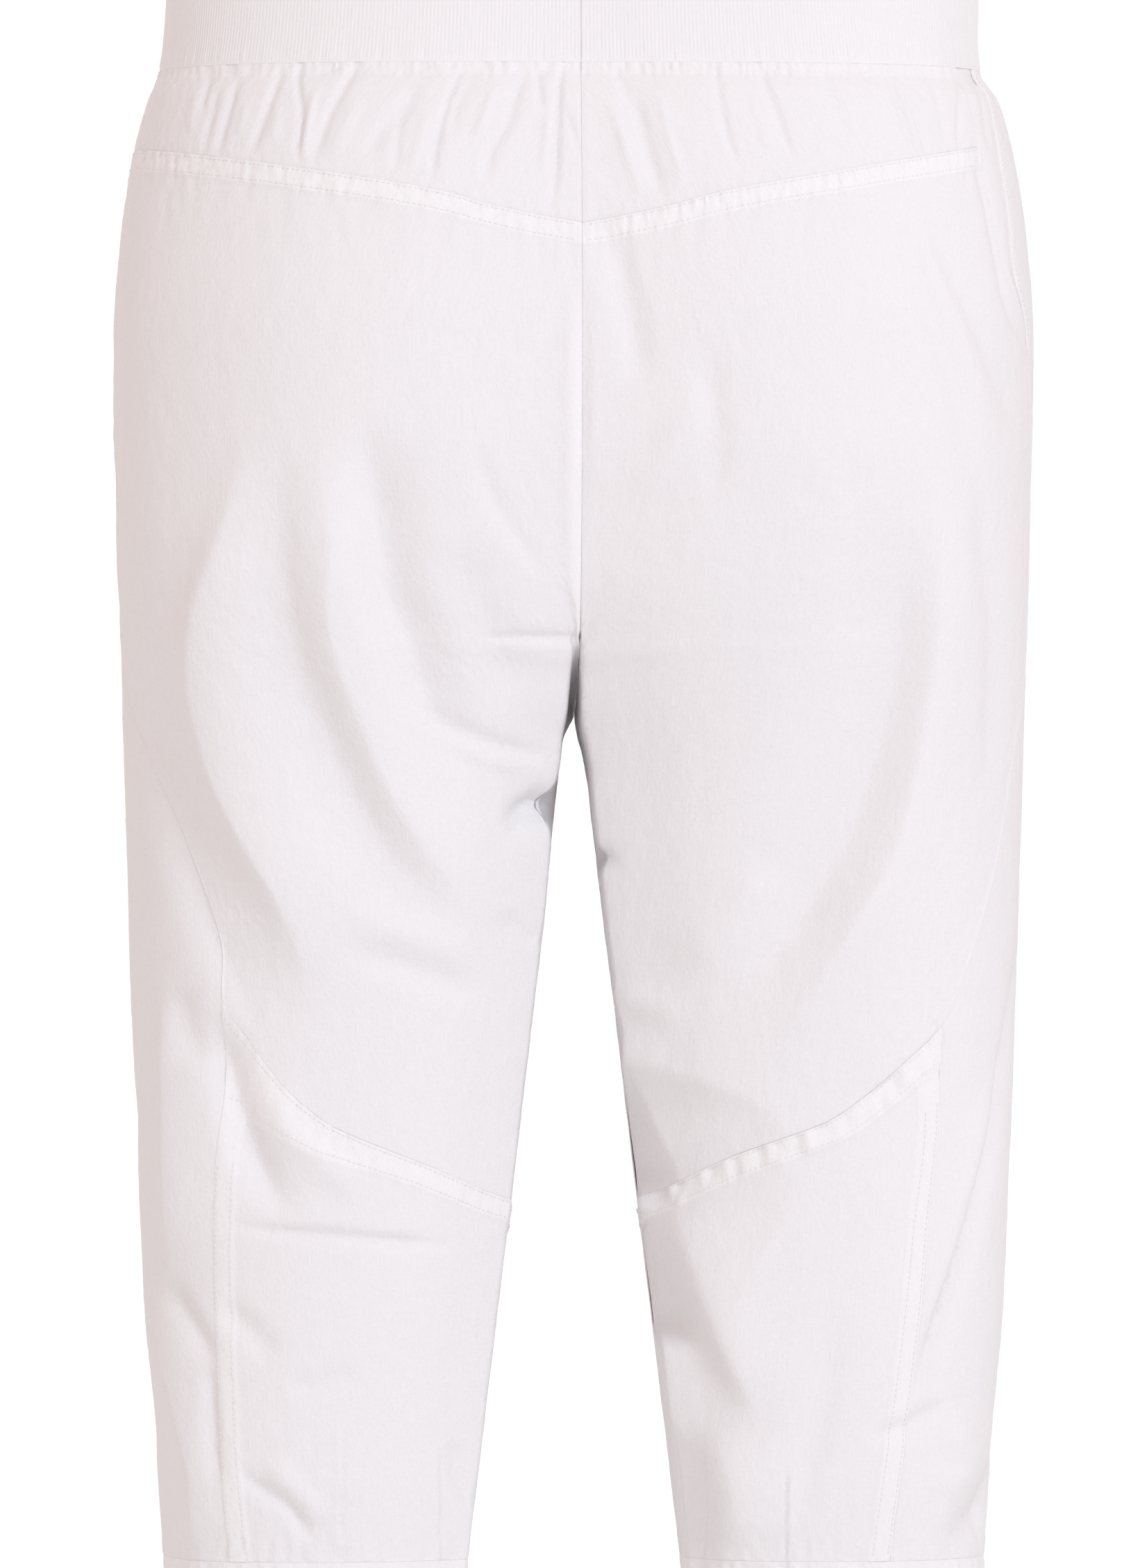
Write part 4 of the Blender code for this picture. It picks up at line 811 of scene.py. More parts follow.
def stitched_band(distance):
    """The turned allowance beside a seam: a raised strip between two stitched channels."""
    cut = bpy.context.scene.capri_cut
    raised = cut.band_rise * (1 - rise(distance - cut.band_width, -1, 3))
    channels = bell(distance - cut.stitch_inset, 0.7 * MM)
    channels = channels + bell(distance - (cut.band_width - cut.stitch_inset), 0.8 * MM)
    return raised - 0.05 * cut.band_rise * channels


def seed_for(side, left_seed):
    """The seed of a leg's random numbers, from the left leg's."""
    return left_seed + 2 * SIDES.index(side)


def puckers(along, distance, pitch, depth, reach, seed):
    """Small drawn-up wrinkles square to a seam, uneven in pitch and height."""
    uneven = along / pitch + 0.9 * noise(along / (6 * pitch), along * 0, seed)
    wave = streaks(2 * uneven, distance / (14 * MM), seed + 1)
    window = rise(distance, 0, 1.2) * (1 - smooth_step((distance - 0.6 * reach) / (0.5 * reach)))
    return depth * wave * window


def graded(total, first, last, steps):
    """Distances from 0 to each total: close ones at both ends, even ones between."""
    total = np.asarray(total, float)[..., None]
    share = np.linspace(0, 1, steps + 1)[1:-1]
    middle = first[-1] + (total - last[-1] - first[-1]) * share
    start = np.broadcast_to(first, total.shape[:-1] + (len(first),))
    end = total - np.asarray(last)[::-1]
    return np.concatenate([start, middle, end], axis=-1)


def lengths_along(grid, axis):
    """Distances along the rows (axis 1) or the columns (axis 0) of a grid of places."""
    steps = np.linalg.norm(np.diff(half_form(*grid), axis=axis), axis=2)
    start = np.zeros_like(np.take(steps, [0], axis=axis))
    return np.concatenate([start, np.cumsum(steps, axis=axis)], axis=axis)


def on_line(line, distances):
    """Places on a fine line at the given distances from its start."""
    length = run_length(half_form(*line))
    return np.stack([np.interp(distances, length, line[i]) for i in range(2)])


def line_length(line):
    """Length of a fine line along the form."""
    return run_length(half_form(*line))[-1]


def evenly(line):
    """A fine line's places moved to even spacing."""
    return on_line(line, np.linspace(0, line_length(line), LINE_STEPS + 1))


def seam_line(rows, side, first, last):
    """A seam of one leg as fine places between two of its stations."""
    around = rows[side + "_around"]
    below = rows[side + "_below"]
    steps = np.hypot(np.diff(around) * AROUND_REACH, np.diff(below))
    length = np.concatenate([[0], np.cumsum(steps)])
    at = np.linspace(length[first], length[last], LINE_STEPS + 1)
    return np.stack([smooth_between(at, length, around), smooth_between(at, length, below)])


def edge_line(around, start, end):
    """A stretch of the seat seam, front seam or inseam as fine places."""
    below = np.linspace(start, end, LINE_STEPS + 1)
    return np.stack([np.full_like(below, around), below])


def level_line(start, end, below):
    """Fine places along a level line, evenly spaced."""
    around = np.linspace(start, end, LINE_STEPS + 1)
    return evenly(np.stack([around, np.full_like(around, below)]))


@functools.cache
def yoke_seam_line(side):
    """The V seam from the seat seam to the side."""
    end = seam_line(LONG_SEAM, side, 0, YOKE_STATION)[:, -1]
    across = np.linspace(0, half_form(*end)[0], LINE_STEPS + 1)
    below = smooth_between(across, YOKE_SEAM["across"], YOKE_SEAM["below"])
    below = below + (end[1] - below[-1]) * np.linspace(0, 1, LINE_STEPS + 1) ** 4
    samples = np.linspace(0.0, 0.5, 201)
    x = half_form(samples[None, :], below[:, None])[..., 0]
    around = np.array([np.interp(a, row, samples) for a, row in zip(across, x)])
    around[0] = 0.0
    around[-1] = end[0]
    return evenly((around, below))


@functools.cache
def curved_seam_line(side):
    """The curved seam's lower stretch from the inseam outwards."""
    line = seam_line(LONG_SEAM, side, JUNCTION_STATION, len(LONG_SEAM["left_below"]) - 1)
    line = line[:, ::-1].copy()
    line[0, 0] = 0.0
    return evenly(line)


def beside(line, distance):
    """A fine seam line moved down the cloth, square to itself."""
    flat = np.stack([cloth_length(*line), line[1]])
    run = np.gradient(flat, axis=1)
    run = run / np.linalg.norm(run, axis=0)
    length = flat[0] - run[1] * distance
    below = flat[1] + run[0] * distance
    return np.stack([place_at(np.maximum(length, 0), below), below])


def edge_stretch(seam, edge, at_end):
    """How much farther than square a line beside a seam lies along the panel's edge."""
    picks = (-2, -1) if at_end else (0, 1)
    run = [np.array([cloth_length(*seam[:, i]), seam[1, i]]) for i in picks]
    way = [np.array([cloth_length(*edge[:, i]), edge[1, i]]) for i in (0, 8)]
    run = run[1] - run[0]
    way = way[1] - way[0]
    turn = run[0] * way[1] - run[1] * way[0]
    return np.linalg.norm(run) * np.linalg.norm(way) / abs(turn)


def cut_off(line, edge):
    """A fine line that ends where it passes over the panel's outer edge, in even steps."""
    over = line[0] - np.interp(line[1], edge[1], edge[0])
    if over[-1] > 0:
        last = np.nonzero(over <= 0)[0][-1]
        share = over[last] / (over[last] - over[last + 1])
        end = line[:, last] + (line[:, last + 1] - line[:, last]) * share
        line = np.concatenate([line[:, :last + 1], end[:, None]], axis=1)
    return evenly(line)


def joined(lines, left, right, power=1):
    """Rows of places with their ends moved onto the left and right edges' places.

    The move fades along the row as a power of the share of it that is left.
    """
    share = np.linspace(0, 1, lines.shape[2])
    miss_left = left[:, :, None] - lines[:, :, :1]
    miss_right = right[:, :, None] - lines[:, :, -1:]
    return lines + miss_left * (1 - share) ** power + miss_right * share ** power


def spanned(top, bottom, left, right):
    """Rows of places between two lines: their blend, joined to both edges' places."""
    steps = [np.abs(np.diff(edge[1])) for edge in (left, right)]
    down = np.concatenate([[0], np.cumsum(steps[0] + steps[1])])
    down = down / down[-1]
    lines = top[:, None, :] + (bottom - top)[:, None, :] * down[None, :, None]
    return joined(lines, left, right)


def banded_rows(top, bottom, left, right, last, steps):
    """Rows of a panel whose first ones run beside its top seam, for the stitched band.

    Returns the rows' fine places and each row's distance from the top seam.
    """
    reach = BAND_EDGE[-1]
    left_at = BAND_EDGE * edge_stretch(top, left, False)
    right_at = BAND_EDGE * edge_stretch(top, right, True)
    beside_top = np.stack([cut_off(beside(top, d), right) for d in BAND_EDGE], axis=1)
    upper = joined(beside_top, on_line(left, left_at), on_line(right, right_at), power=5)
    left_rest = graded(line_length(left), left_at[-1:], last, steps)
    right_rest = graded(line_length(right), right_at[-1:], last, steps)
    lower = spanned(upper[:, -1], bottom, on_line(left, left_rest), on_line(right, right_rest))
    rows = np.concatenate([upper, lower[:, 1:]], axis=1)
    even = reach + np.linspace(0, 1, lower.shape[1])[1:] * line_length(left)
    return rows, np.concatenate([BAND_EDGE, even])


def seam_distance(grid, line):
    """Distance of each place from a seam, square to the nearest stretch of it."""
    seam = np.stack([cloth_length(*line), line[1]], axis=-1)
    run = unit(np.gradient(seam, axis=0))
    flat = np.stack([cloth_length(*grid), grid[1]], axis=-1)
    distance = np.empty(flat.shape[:2])
    for k, row in enumerate(flat):
        off = row[:, None, :] - seam
        nearest = np.argmin(np.sum(off * off, axis=-1), axis=1)
        off = off[np.arange(len(row)), nearest]
        way = run[nearest]
        distance[k] = np.abs(off[:, 0] * way[:, 1] - off[:, 1] * way[:, 0])
    return distance


def columns_of(rows, first, last, steps):
    """Each fine row taken at graded distances: the panel's grid of places."""
    length = lengths_along(rows, 1)
    at = graded(length[:, -1], first, last, steps)
    return np.array([[np.interp(*row) for row in zip(at, length, lines)] for lines in rows])


def wall_faces(rows, columns, ring=False):
    """Faces of a closed wall: a fine outer grid, an inner one of half its steps, and rims."""
    outer = np.arange(rows * columns).reshape(rows, columns)
    inner_columns = columns // 2 if ring else (columns + 1) // 2
    inner_rows = (rows + 1) // 2
    inner = rows * columns + np.arange(inner_rows * inner_columns).reshape(inner_rows, inner_columns)
    if ring:
        outer = np.concatenate([outer, outer[:, :1]], axis=1)
        inner = np.concatenate([inner, inner[:, :1]], axis=1)

    def quads(at):
        corners = [at[:-1, :-1], at[:-1, 1:], at[1:, 1:], at[1:, :-1]]
        return np.stack([c.ravel() for c in corners], axis=1)

    def rim(fine, coarse):
        corners = [fine[:-2:2], fine[1:-1:2], fine[2::2], coarse[1:], coarse[:-1]]
        return np.stack(corners, axis=1)

    four = np.concatenate([quads(outer), quads(inner)[:, ::-1]])
    five = [rim(outer[0], inner[0])[:, ::-1], rim(outer[-1], inner[-1])]
    if not ring:
        five += [rim(outer[:, 0], inner[:, 0]), rim(outer[:, -1], inner[:, -1])[:, ::-1]]
    return four, np.concatenate(five)


def make_piece(name, points, faces, material, cloth=None, doubled=None):
    """A smooth mesh object from arrays. Cloth places go to a UV map in metres."""
    mesh = bpy.data.meshes.new(name)
    mesh.from_pydata(points.tolist(), [], [face for kind in faces for face in kind.tolist()])
    if cloth is not None:
        corners = np.empty(len(mesh.loops), dtype=np.int32)
        mesh.loops.foreach_get("vertex_index", corners)
        layer = mesh.uv_layers.new(name="cloth")
        layer.uv.foreach_set("vector", cloth[corners].astype(np.float32).ravel())
        layer_count = mesh.attributes.new("doubled", "FLOAT", "POINT")
        layer_count.data.foreach_set("value", doubled.astype(np.float32))
    mesh.materials.append(material)
    mesh.shade_smooth()
    mesh.set_sharp_from_angle(angle=math.radians(60))
    piece = bpy.data.objects.new(name, mesh)
    bpy.context.scene.collection.objects.link(piece)
    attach(piece, "root")
    return piece


def open_seams(points):
    """Draws a wall's four edges in by half a seam's gap and keeps it off the middle."""
    half_gap = bpy.context.scene.capri_cut.seam_gap / 2
    for edge, beyond in ((0, 1), (-1, -2)):
        points[edge] += unit(points[beyond] - points[edge]) * half_gap
        points[:, edge] += unit(points[:, beyond] - points[:, edge]) * half_gap
    points[..., 0] = np.maximum(points[..., 0], half_gap)


FINISHED = {}             # surface points and normals of the finished panels, for their stitches


def closed_wall(name, outer, inner, cloth, doubled, material, ring=False, flipped=False):
    """The piece between a fine outer grid of points and an inner one of half its steps."""
    faces = wall_faces(*outer.shape[:2], ring)
    if flipped:
        faces = [kind[:, ::-1] for kind in faces]
    points = np.concatenate([outer.reshape(-1, 3), inner.reshape(-1, 3)])
    cloth = np.concatenate([cloth.reshape(-1, 2), cloth[::2, ::2].reshape(-1, 2)])
    doubled = np.concatenate([doubled.ravel(), doubled[::2, ::2].ravel()])
    return make_piece(name, points, faces, material, cloth, doubled)


def panel_piece(name, side, grid, height, doubled, level=(None, None)):
    """The closed wall of one panel on its grid of places, raised by its height.

    "level" gives the drops of a first and a last row that lie on a level plane.
    """
    cut = bpy.context.scene.capri_cut
    around, below = grid
    base = half_form(around, below) + hang(side, around, below)
    normal = half_normal(around, below)
    outer = base + normal * height[..., None]
    inner = (base + normal * (height - cut.cloth)[..., None])[::2, ::2]
    for wall in (outer, inner):
        open_seams(wall)
        for row, drop in zip((0, -1), level):
            if drop is not None:
                wall[row, :, 2] = -drop
    mirror = MIRROR[side]
    cloth = np.stack([from_side_line(around, below), below], axis=-1)
    piece = closed_wall(
        name + "_cloth_" + side, outer * mirror, inner * mirror, cloth, doubled, cotton(),
        flipped=side == "right")
    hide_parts(name + "_" + side)
    facing = unit(np.cross(np.gradient(outer, axis=1), np.gradient(outer, axis=0)))
    FINISHED[name + "_" + side] = (outer * mirror, facing * mirror)
    return piece


def surface_height(side, grid):
    """The draped height at a grid of places."""
    around, below = grid
    return drape(side, around, below, half_form(around, below), half_normal(around, below))


def feed(tree, socket, value):
    """Links an input socket to another node's output, or sets its own value."""
    if isinstance(value, bpy.types.NodeSocket):
        tree.links.new(value, socket)
    else:
        socket.default_value = value


def set_inputs(tree, node, **values):
    """Feeds a node's input sockets. Keywords name them, with underscores for spaces."""
    for name, value in values.items():
        feed(tree, node.inputs[name.replace("_", " ")], value)


def add_node(tree, kind, **values):
    """A shader node with some of its input sockets fed."""
    node = tree.nodes.new(kind)
    set_inputs(tree, node, **values)
    return node


def add_math(tree, operation, first, second):
    """The result of a Math node on two sockets or numbers."""
    node = tree.nodes.new("ShaderNodeMath")
    node.operation = operation
    for socket, value in zip(node.inputs, (first, second)):
        feed(tree, socket, value)
    return node.outputs[0]


def add_mix(tree, blend, factor, first, second):
    """The result of a colour Mix node on two sockets or colours."""
    node = tree.nodes.new("ShaderNodeMix")
    node.data_type = "RGBA"
    node.blend_type = blend
    set_inputs(tree, node, Factor=factor, A=first, B=second)
    return node.outputs["Result"]


def add_noise(tree, places, stretch, detail):
    """Noise from -0.5 to 0.5 at places stretched by a number for each axis."""
    scaled = tree.nodes.new("ShaderNodeVectorMath")
    scaled.operation = "MULTIPLY"
    for socket, value in zip(scaled.inputs, (places, stretch)):
        feed(tree, socket, value)
    cloud = add_node(
        tree, "ShaderNodeTexNoise",
        Vector=scaled.outputs[0], Scale=1.0, Detail=detail, Roughness=0.6)
    return add_math(tree, "SUBTRACT", cloud.outputs["Fac"], 0.5)


def new_material(name):
    """A material with its node tree and the shader in it."""
    material = bpy.data.materials.new(name)
    material.use_nodes = True
    tree = material.node_tree
    return material, tree, tree.nodes["Principled BSDF"]


@functools.cache
def cloth_relief():
    """Node group: height in millimetres of woven or knitted yarn, and a painted shade that darkens the
    relief's low places.

    Pebbles, slubs down and across the cloth, and the yarn's own over and under, each
    with its own strength, on cloth places in metres.
    """
    group = bpy.data.node_groups.new("cloth_relief", "ShaderNodeTree")
    face = group.interface
    face.new_socket("Cloth", in_out="INPUT", socket_type="NodeSocketVector")
    for name in ("Pebble", "Slub", "Yarn", "Yarns Across", "Yarns Down"):
        face.new_socket(name, in_out="INPUT", socket_type="NodeSocketFloat")
    face.new_socket("Height", in_out="OUTPUT", socket_type="NodeSocketFloat")
    face.new_socket("Shade", in_out="OUTPUT", socket_type="NodeSocketFloat")
    given = group.nodes.new("NodeGroupInput").outputs
    result = group.nodes.new("NodeGroupOutput").inputs

    # Each stretch is the number of marks in a metre across and down the cloth.
    pebble = add_noise(group, given["Cloth"], (520.0, 290.0, 1.0), 3.0)
    warp_slub = add_noise(group, given["Cloth"], (900.0, 70.0, 1.0), 2.0)
    weft_slub = add_noise(group, given["Cloth"], (60.0, 1300.0, 1.0), 2.0)
    slub = add_math(group, "ADD", warp_slub, add_math(group, "MULTIPLY", weft_slub, 0.5))
    parts = add_node(group, "ShaderNodeSeparateXYZ", Vector=given["Cloth"])
    waves = []
    for axis, count in (("X", "Yarns Across"), ("Y", "Yarns Down")):
        turns = add_math(group, "MULTIPLY", parts.outputs[axis], given[count])
        angle = add_math(group, "MULTIPLY", turns, 2 * math.pi)
        waves.append(add_math(group, "SINE", angle, 0.0))
    yarn = add_math(group, "MULTIPLY", waves[0], waves[1])

    height = 0.0
    for part, strength in ((pebble, "Pebble"), (slub, "Slub"), (yarn, "Yarn")):
        height = add_math(group, "ADD", height, add_math(group, "MULTIPLY", part, given[strength]))
    feed(group, result["Height"], height)
    # Painted shade: the low places of the pebbles and slubs are painted darker, their high places
    # lighter.
    painted_hollow_shade = add_math(group, "MULTIPLY", add_math(group, "ADD", pebble, slub), 0.05)
    feed(group, result["Shade"], add_math(group, "ADD", painted_hollow_shade, 0.985))
    return group


def cloth_material(name, single, doubled, pebble, slub, yarn, across, down, sheen):
    """Matt cloth: two tones for single and doubled layers, with the yarn's relief and its painted
    shade.
    """
    material, tree, shader = new_material(name)
    places = tree.nodes.new("ShaderNodeUVMap")
    places.uv_map = "cloth"
    relief = tree.nodes.new("ShaderNodeGroup")
    relief.node_tree = cloth_relief()
    set_inputs(
        tree, relief, Cloth=places.outputs["UV"], Pebble=pebble, Slub=slub, Yarn=yarn,
        Yarns_Across=across, Yarns_Down=down)
    layers = tree.nodes.new("ShaderNodeAttribute")
    layers.attribute_name = "doubled"
    tone = add_mix(tree, "MIX", layers.outputs["Fac"], (*single, 1.0), (*doubled, 1.0))
    bump = add_node(
        tree, "ShaderNodeBump", Strength=1.0, Distance=MM, Height=relief.outputs["Height"])
    set_inputs(
        tree, shader,
        Base_Color=add_mix(tree, "MULTIPLY", 1.0, tone, relief.outputs["Shade"]),
        Roughness=bpy.context.scene.capri_finish.roughness,
        Specular_IOR_Level=0.12,
        Sheen_Weight=sheen,
        Sheen_Roughness=0.6,
        Normal=bump.outputs["Normal"])
    return material


@functools.cache
def cotton():
    """Crinkled plain weave: pebbled, with slubs down the cloth."""
    finish = bpy.context.scene.capri_finish
    return cloth_material(
        "crinkled_cotton", finish.single_layer, finish.double_layer,
        pebble=0.42, slub=0.12, yarn=0.03, across=1600.0, down=1500.0, sheen=0.02)


@functools.cache
def rib_knit():
    """Rib knit: the ribs are in the mesh, the stitches of each rib are relief."""
    finish = bpy.context.scene.capri_finish
    return cloth_material(
        "rib_knit", finish.knit, finish.knit,
        pebble=0.06, slub=0.05, yarn=0.05, across=980.0, down=800.0, sheen=0.15)


@functools.cache
def thread():
    """Smooth white sewing thread with a slight sheen."""
    material, tree, shader = new_material("sewing_thread")
    places = tree.nodes.new("ShaderNodeTexCoord").outputs["Object"]
    cloud = add_node(tree, "ShaderNodeTexNoise", Vector=places, Scale=900.0, Detail=2.0)
    colour = bpy.context.scene.capri_finish.thread
    darker = [channel * 0.94 for channel in colour]
    tone = add_mix(tree, "MIX", cloud.outputs["Fac"], (*darker, 1.0), (*colour, 1.0))
    set_inputs(tree, shader, Base_Color=tone, Roughness=0.6, Sheen_Weight=0.2)
    return material


class CapriCut(PropertyGroup):
    """Sizes of the cloth and of the sewing."""

    cloth: FloatProperty(
        name="Cloth", description="Thickness of a cotton panel", default=0.9 * MM,
        unit="LENGTH", precision=5)
    knit: FloatProperty(
        name="Knit", description="Thickness of the waistband between its ribs", default=1.7 * MM,
        unit="LENGTH", precision=5)
    hem: FloatProperty(
        name="Hem", description="Thickness of the doubled hem band", default=1.6 * MM,
        unit="LENGTH", precision=5)
    seam_gap: FloatProperty(
        name="Seam gap", description="Clearance between two pieces at a seam", default=0.14 * MM,
        unit="LENGTH", precision=5)
    band_width: FloatProperty(
        name="Band width", description="Width of the stitched allowance beside a seam", default=11 * MM,
        unit="LENGTH", precision=4)
    band_rise: FloatProperty(
        name="Band rise", description="How far a stitched allowance stands proud", default=0.55 * MM,
        unit="LENGTH", precision=5)
    stitch_inset: FloatProperty(
        name="Stitch inset", description="From a seam or a band's edge to its stitching",
        default=1.4 * MM, unit="LENGTH", precision=5)
    stitch_length: FloatProperty(
        name="Stitch length", description="Length of one stitch on the face", default=2.3 * MM,
        unit="LENGTH", precision=5)
    stitch_space: FloatProperty(
        name="Stitch space", description="Space between two stitches", default=0.7 * MM,
        unit="LENGTH", precision=5)
    thread_width: FloatProperty(
        name="Thread", description="Width of the sewing thread", default=0.42 * MM,
        unit="LENGTH", precision=5)
    rib_pitch: FloatProperty(
        name="Rib pitch", description="From one rib of the waistband to the next", default=2.04 * MM,
        unit="LENGTH", precision=5)
    rib_height: FloatProperty(
        name="Rib height", description="Height of a rib over the grooves beside it", default=0.35 * MM,
        unit="LENGTH", precision=5)


class CapriFinish(PropertyGroup):
    """Colours and surface of the cloth."""

    single_layer: FloatVectorProperty(
        name="Single layer", description="Colour of a single layer of cotton",
        subtype="COLOR", size=3, min=0.0, max=1.0, default=(0.80, 0.775, 0.785))
    double_layer: FloatVectorProperty(
        name="Double layer", description="Colour of cotton with an allowance behind it",
        subtype="COLOR", size=3, min=0.0, max=1.0, default=(0.835, 0.813, 0.818))
    knit: FloatVectorProperty(
        name="Knit", description="Colour of the rib-knit waistband", subtype="COLOR", size=3,
        min=0.0, max=1.0, default=(0.81, 0.787, 0.793))
    thread: FloatVectorProperty(
        name="Thread", description="Colour of the sewing thread", subtype="COLOR", size=3,
        min=0.0, max=1.0, default=(0.85, 0.83, 0.83))
    crinkle_depth: FloatProperty(
        name="Crinkle depth", description="Height of the cotton's soft blisters", default=0.42 * MM,
        unit="LENGTH", precision=5)
    roughness: FloatProperty(
        name="Roughness", description="Roughness of the cloth", default=0.88,
        min=0.0, max=1.0, subtype="FACTOR")


class CapriStudio(PropertyGroup):
    """Camera, floor and light."""

    camera_distance: FloatProperty(
        name="Camera distance", description="From the camera to the garment", default=8.0,
        unit="LENGTH")
    camera_turn: FloatProperty(
        name="Camera turn", description="How far the view is turned towards the left side",
        default=math.radians(1.8), subtype="ANGLE")
    view_height: FloatProperty(
        name="View height", description="Height of the garment that the picture shows",
        default=PICTURE_ROWS * PIXEL, unit="LENGTH", precision=4)
    view_top: FloatProperty(
        name="View top", description="Drop of the picture's upper edge", default=21 * MM, unit="LENGTH")
    floor_drop: FloatProperty(
        name="Floor drop", description="From the waist down to the floor", default=1.25, unit="LENGTH")
    sky: FloatProperty(
        name="Sky", description="Strength of the even light from all round", default=0.91, min=0.0)
    key: FloatProperty(
        name="Key light", description="Power of the soft light over the right hip, in watts",
        default=242.0, min=0.0)
    front_fill: FloatProperty(
        name="Front fill", description="Power of the soft light on the front, in watts",
        default=140.0, min=0.0)


class CAPRI_OT_waistband(Operator):
    """Makes the rib-knit waistband"""

    bl_idname = "capri.waistband"
    bl_label = "Waistband"

    def execute(self, context):
        make_waistband()
        return {"FINISHED"}


class CAPRI_OT_back_yokes(Operator):
    """Makes the two gathered halves of the back yoke"""

    bl_idname = "capri.back_yokes"
    bl_label = "Back yokes"

    def execute(self, context):
        for side in SIDES:
            make_yoke(side)
        return {"FINISHED"}


class CAPRI_OT_upper_backs(Operator):
    """Makes the seat and thigh panels of the back"""

    bl_idname = "capri.upper_backs"
    bl_label = "Upper backs"

    def execute(self, context):
        for side in SIDES:
            make_upper_back(side)
        return {"FINISHED"}


class CAPRI_OT_lower_backs(Operator):
    """Makes the calf panels of the back"""

    bl_idname = "capri.lower_backs"
    bl_label = "Lower backs"

    def execute(self, context):
        for side in SIDES:
            make_lower_back(side)
        return {"FINISHED"}


class CAPRI_OT_fronts(Operator):
    """Makes the fronts, which wrap round the sides to the back"""

    bl_idname = "capri.fronts"
    bl_label = "Fronts"

    def execute(self, context):
        for side in SIDES:
            make_front(side)
        return {"FINISHED"}


class CAPRI_OT_pockets(Operator):
    """Makes the hip pieces in the pocket mouths"""

    bl_idname = "capri.pockets"
    bl_label = "Pockets"

    def execute(self, context):
        for side in SIDES:
            make_pocket(side)
        return {"FINISHED"}


class CAPRI_OT_hem_bands(Operator):
    """Makes the gathered band under each leg"""

    bl_idname = "capri.hem_bands"
    bl_label = "Hem bands"

    def execute(self, context):
        for side in SIDES:
            make_hem_band(side)
        return {"FINISHED"}


class CAPRI_OT_stitching(Operator):
    """Sews the seams of the finished panels with small stitches"""

    bl_idname = "capri.stitching"
    bl_label = "Stitching"

    def execute(self, context):
        missing = [name for name in ("back_upper_left", "back_lower_left") if name not in FINISHED]
        if missing:
            raise RuntimeError("make the panels before the stitching: " + ", ".join(missing))
        make_stitching()
        return {"FINISHED"}


class CAPRI_OT_studio(Operator):
    """Makes the floor, the light and the camera"""

    bl_idname = "capri.studio"
    bl_label = "Studio"

    def execute(self, context):
        make_studio()
        return {"FINISHED"}


OPERATORS = (
    CAPRI_OT_waistband,
    CAPRI_OT_back_yokes,
    CAPRI_OT_upper_backs,
    CAPRI_OT_lower_backs,
    CAPRI_OT_fronts,
    CAPRI_OT_pockets,
    CAPRI_OT_hem_bands,
    CAPRI_OT_stitching,
    CAPRI_OT_studio,
)
GROUPS = {"capri_cut": CapriCut, "capri_finish": CapriFinish, "capri_studio": CapriStudio}


class CAPRI_PT_panel(Panel):
    """Lists the pieces in the order they are made, and their sizes and colours"""

    bl_label = "Capri Pants"
    bl_idname = "CAPRI_PT_panel"
    bl_space_type = "VIEW_3D"
    bl_region_type = "UI"
    bl_category = "Capri Pants"

    def draw(self, context):
        for operator in OPERATORS:
            self.layout.operator(operator.bl_idname)
        for name, group in GROUPS.items():
            box = self.layout.box()
            for entry in group.__annotations__:
                box.prop(getattr(context.scene, name), entry)


def register():
    """Registers the sizes, the operators and the panel."""
    for group in GROUPS.values():
        bpy.utils.register_class(group)
    for name, group in GROUPS.items():
        setattr(bpy.types.Scene, name, PointerProperty(type=group))
    for item in OPERATORS + (CAPRI_PT_panel,):
        bpy.utils.register_class(item)


def unregister():
    """Takes back what register does, in the opposite order."""
    for item in (CAPRI_PT_panel,) + OPERATORS[::-1]:
        bpy.utils.unregister_class(item)
    for name, group in GROUPS.items():
        delattr(bpy.types.Scene, name)
        bpy.utils.unregister_class(group)


def whole_loop(below, count):
    """Points and level normals evenly spaced round both halves at one drop.

    They run from the centre back over the left side and the front to the right side.
    """
    fine = np.linspace(0.0, 1.0, 801)
    level = np.full_like(fine, below)
    loop, normal = [
        np.concatenate([values, values[-2::-1] * MIRROR["right"]])
        for values in (half_form(fine, level), half_normal(fine, level))]
    length = run_length(loop)
    at = np.arange(count) / count * length[-1]
    normals = taken_at(at, length, normal)
    normals[:, 2] = 0
    return taken_at(at, length, loop), unit(normals), length[-1]


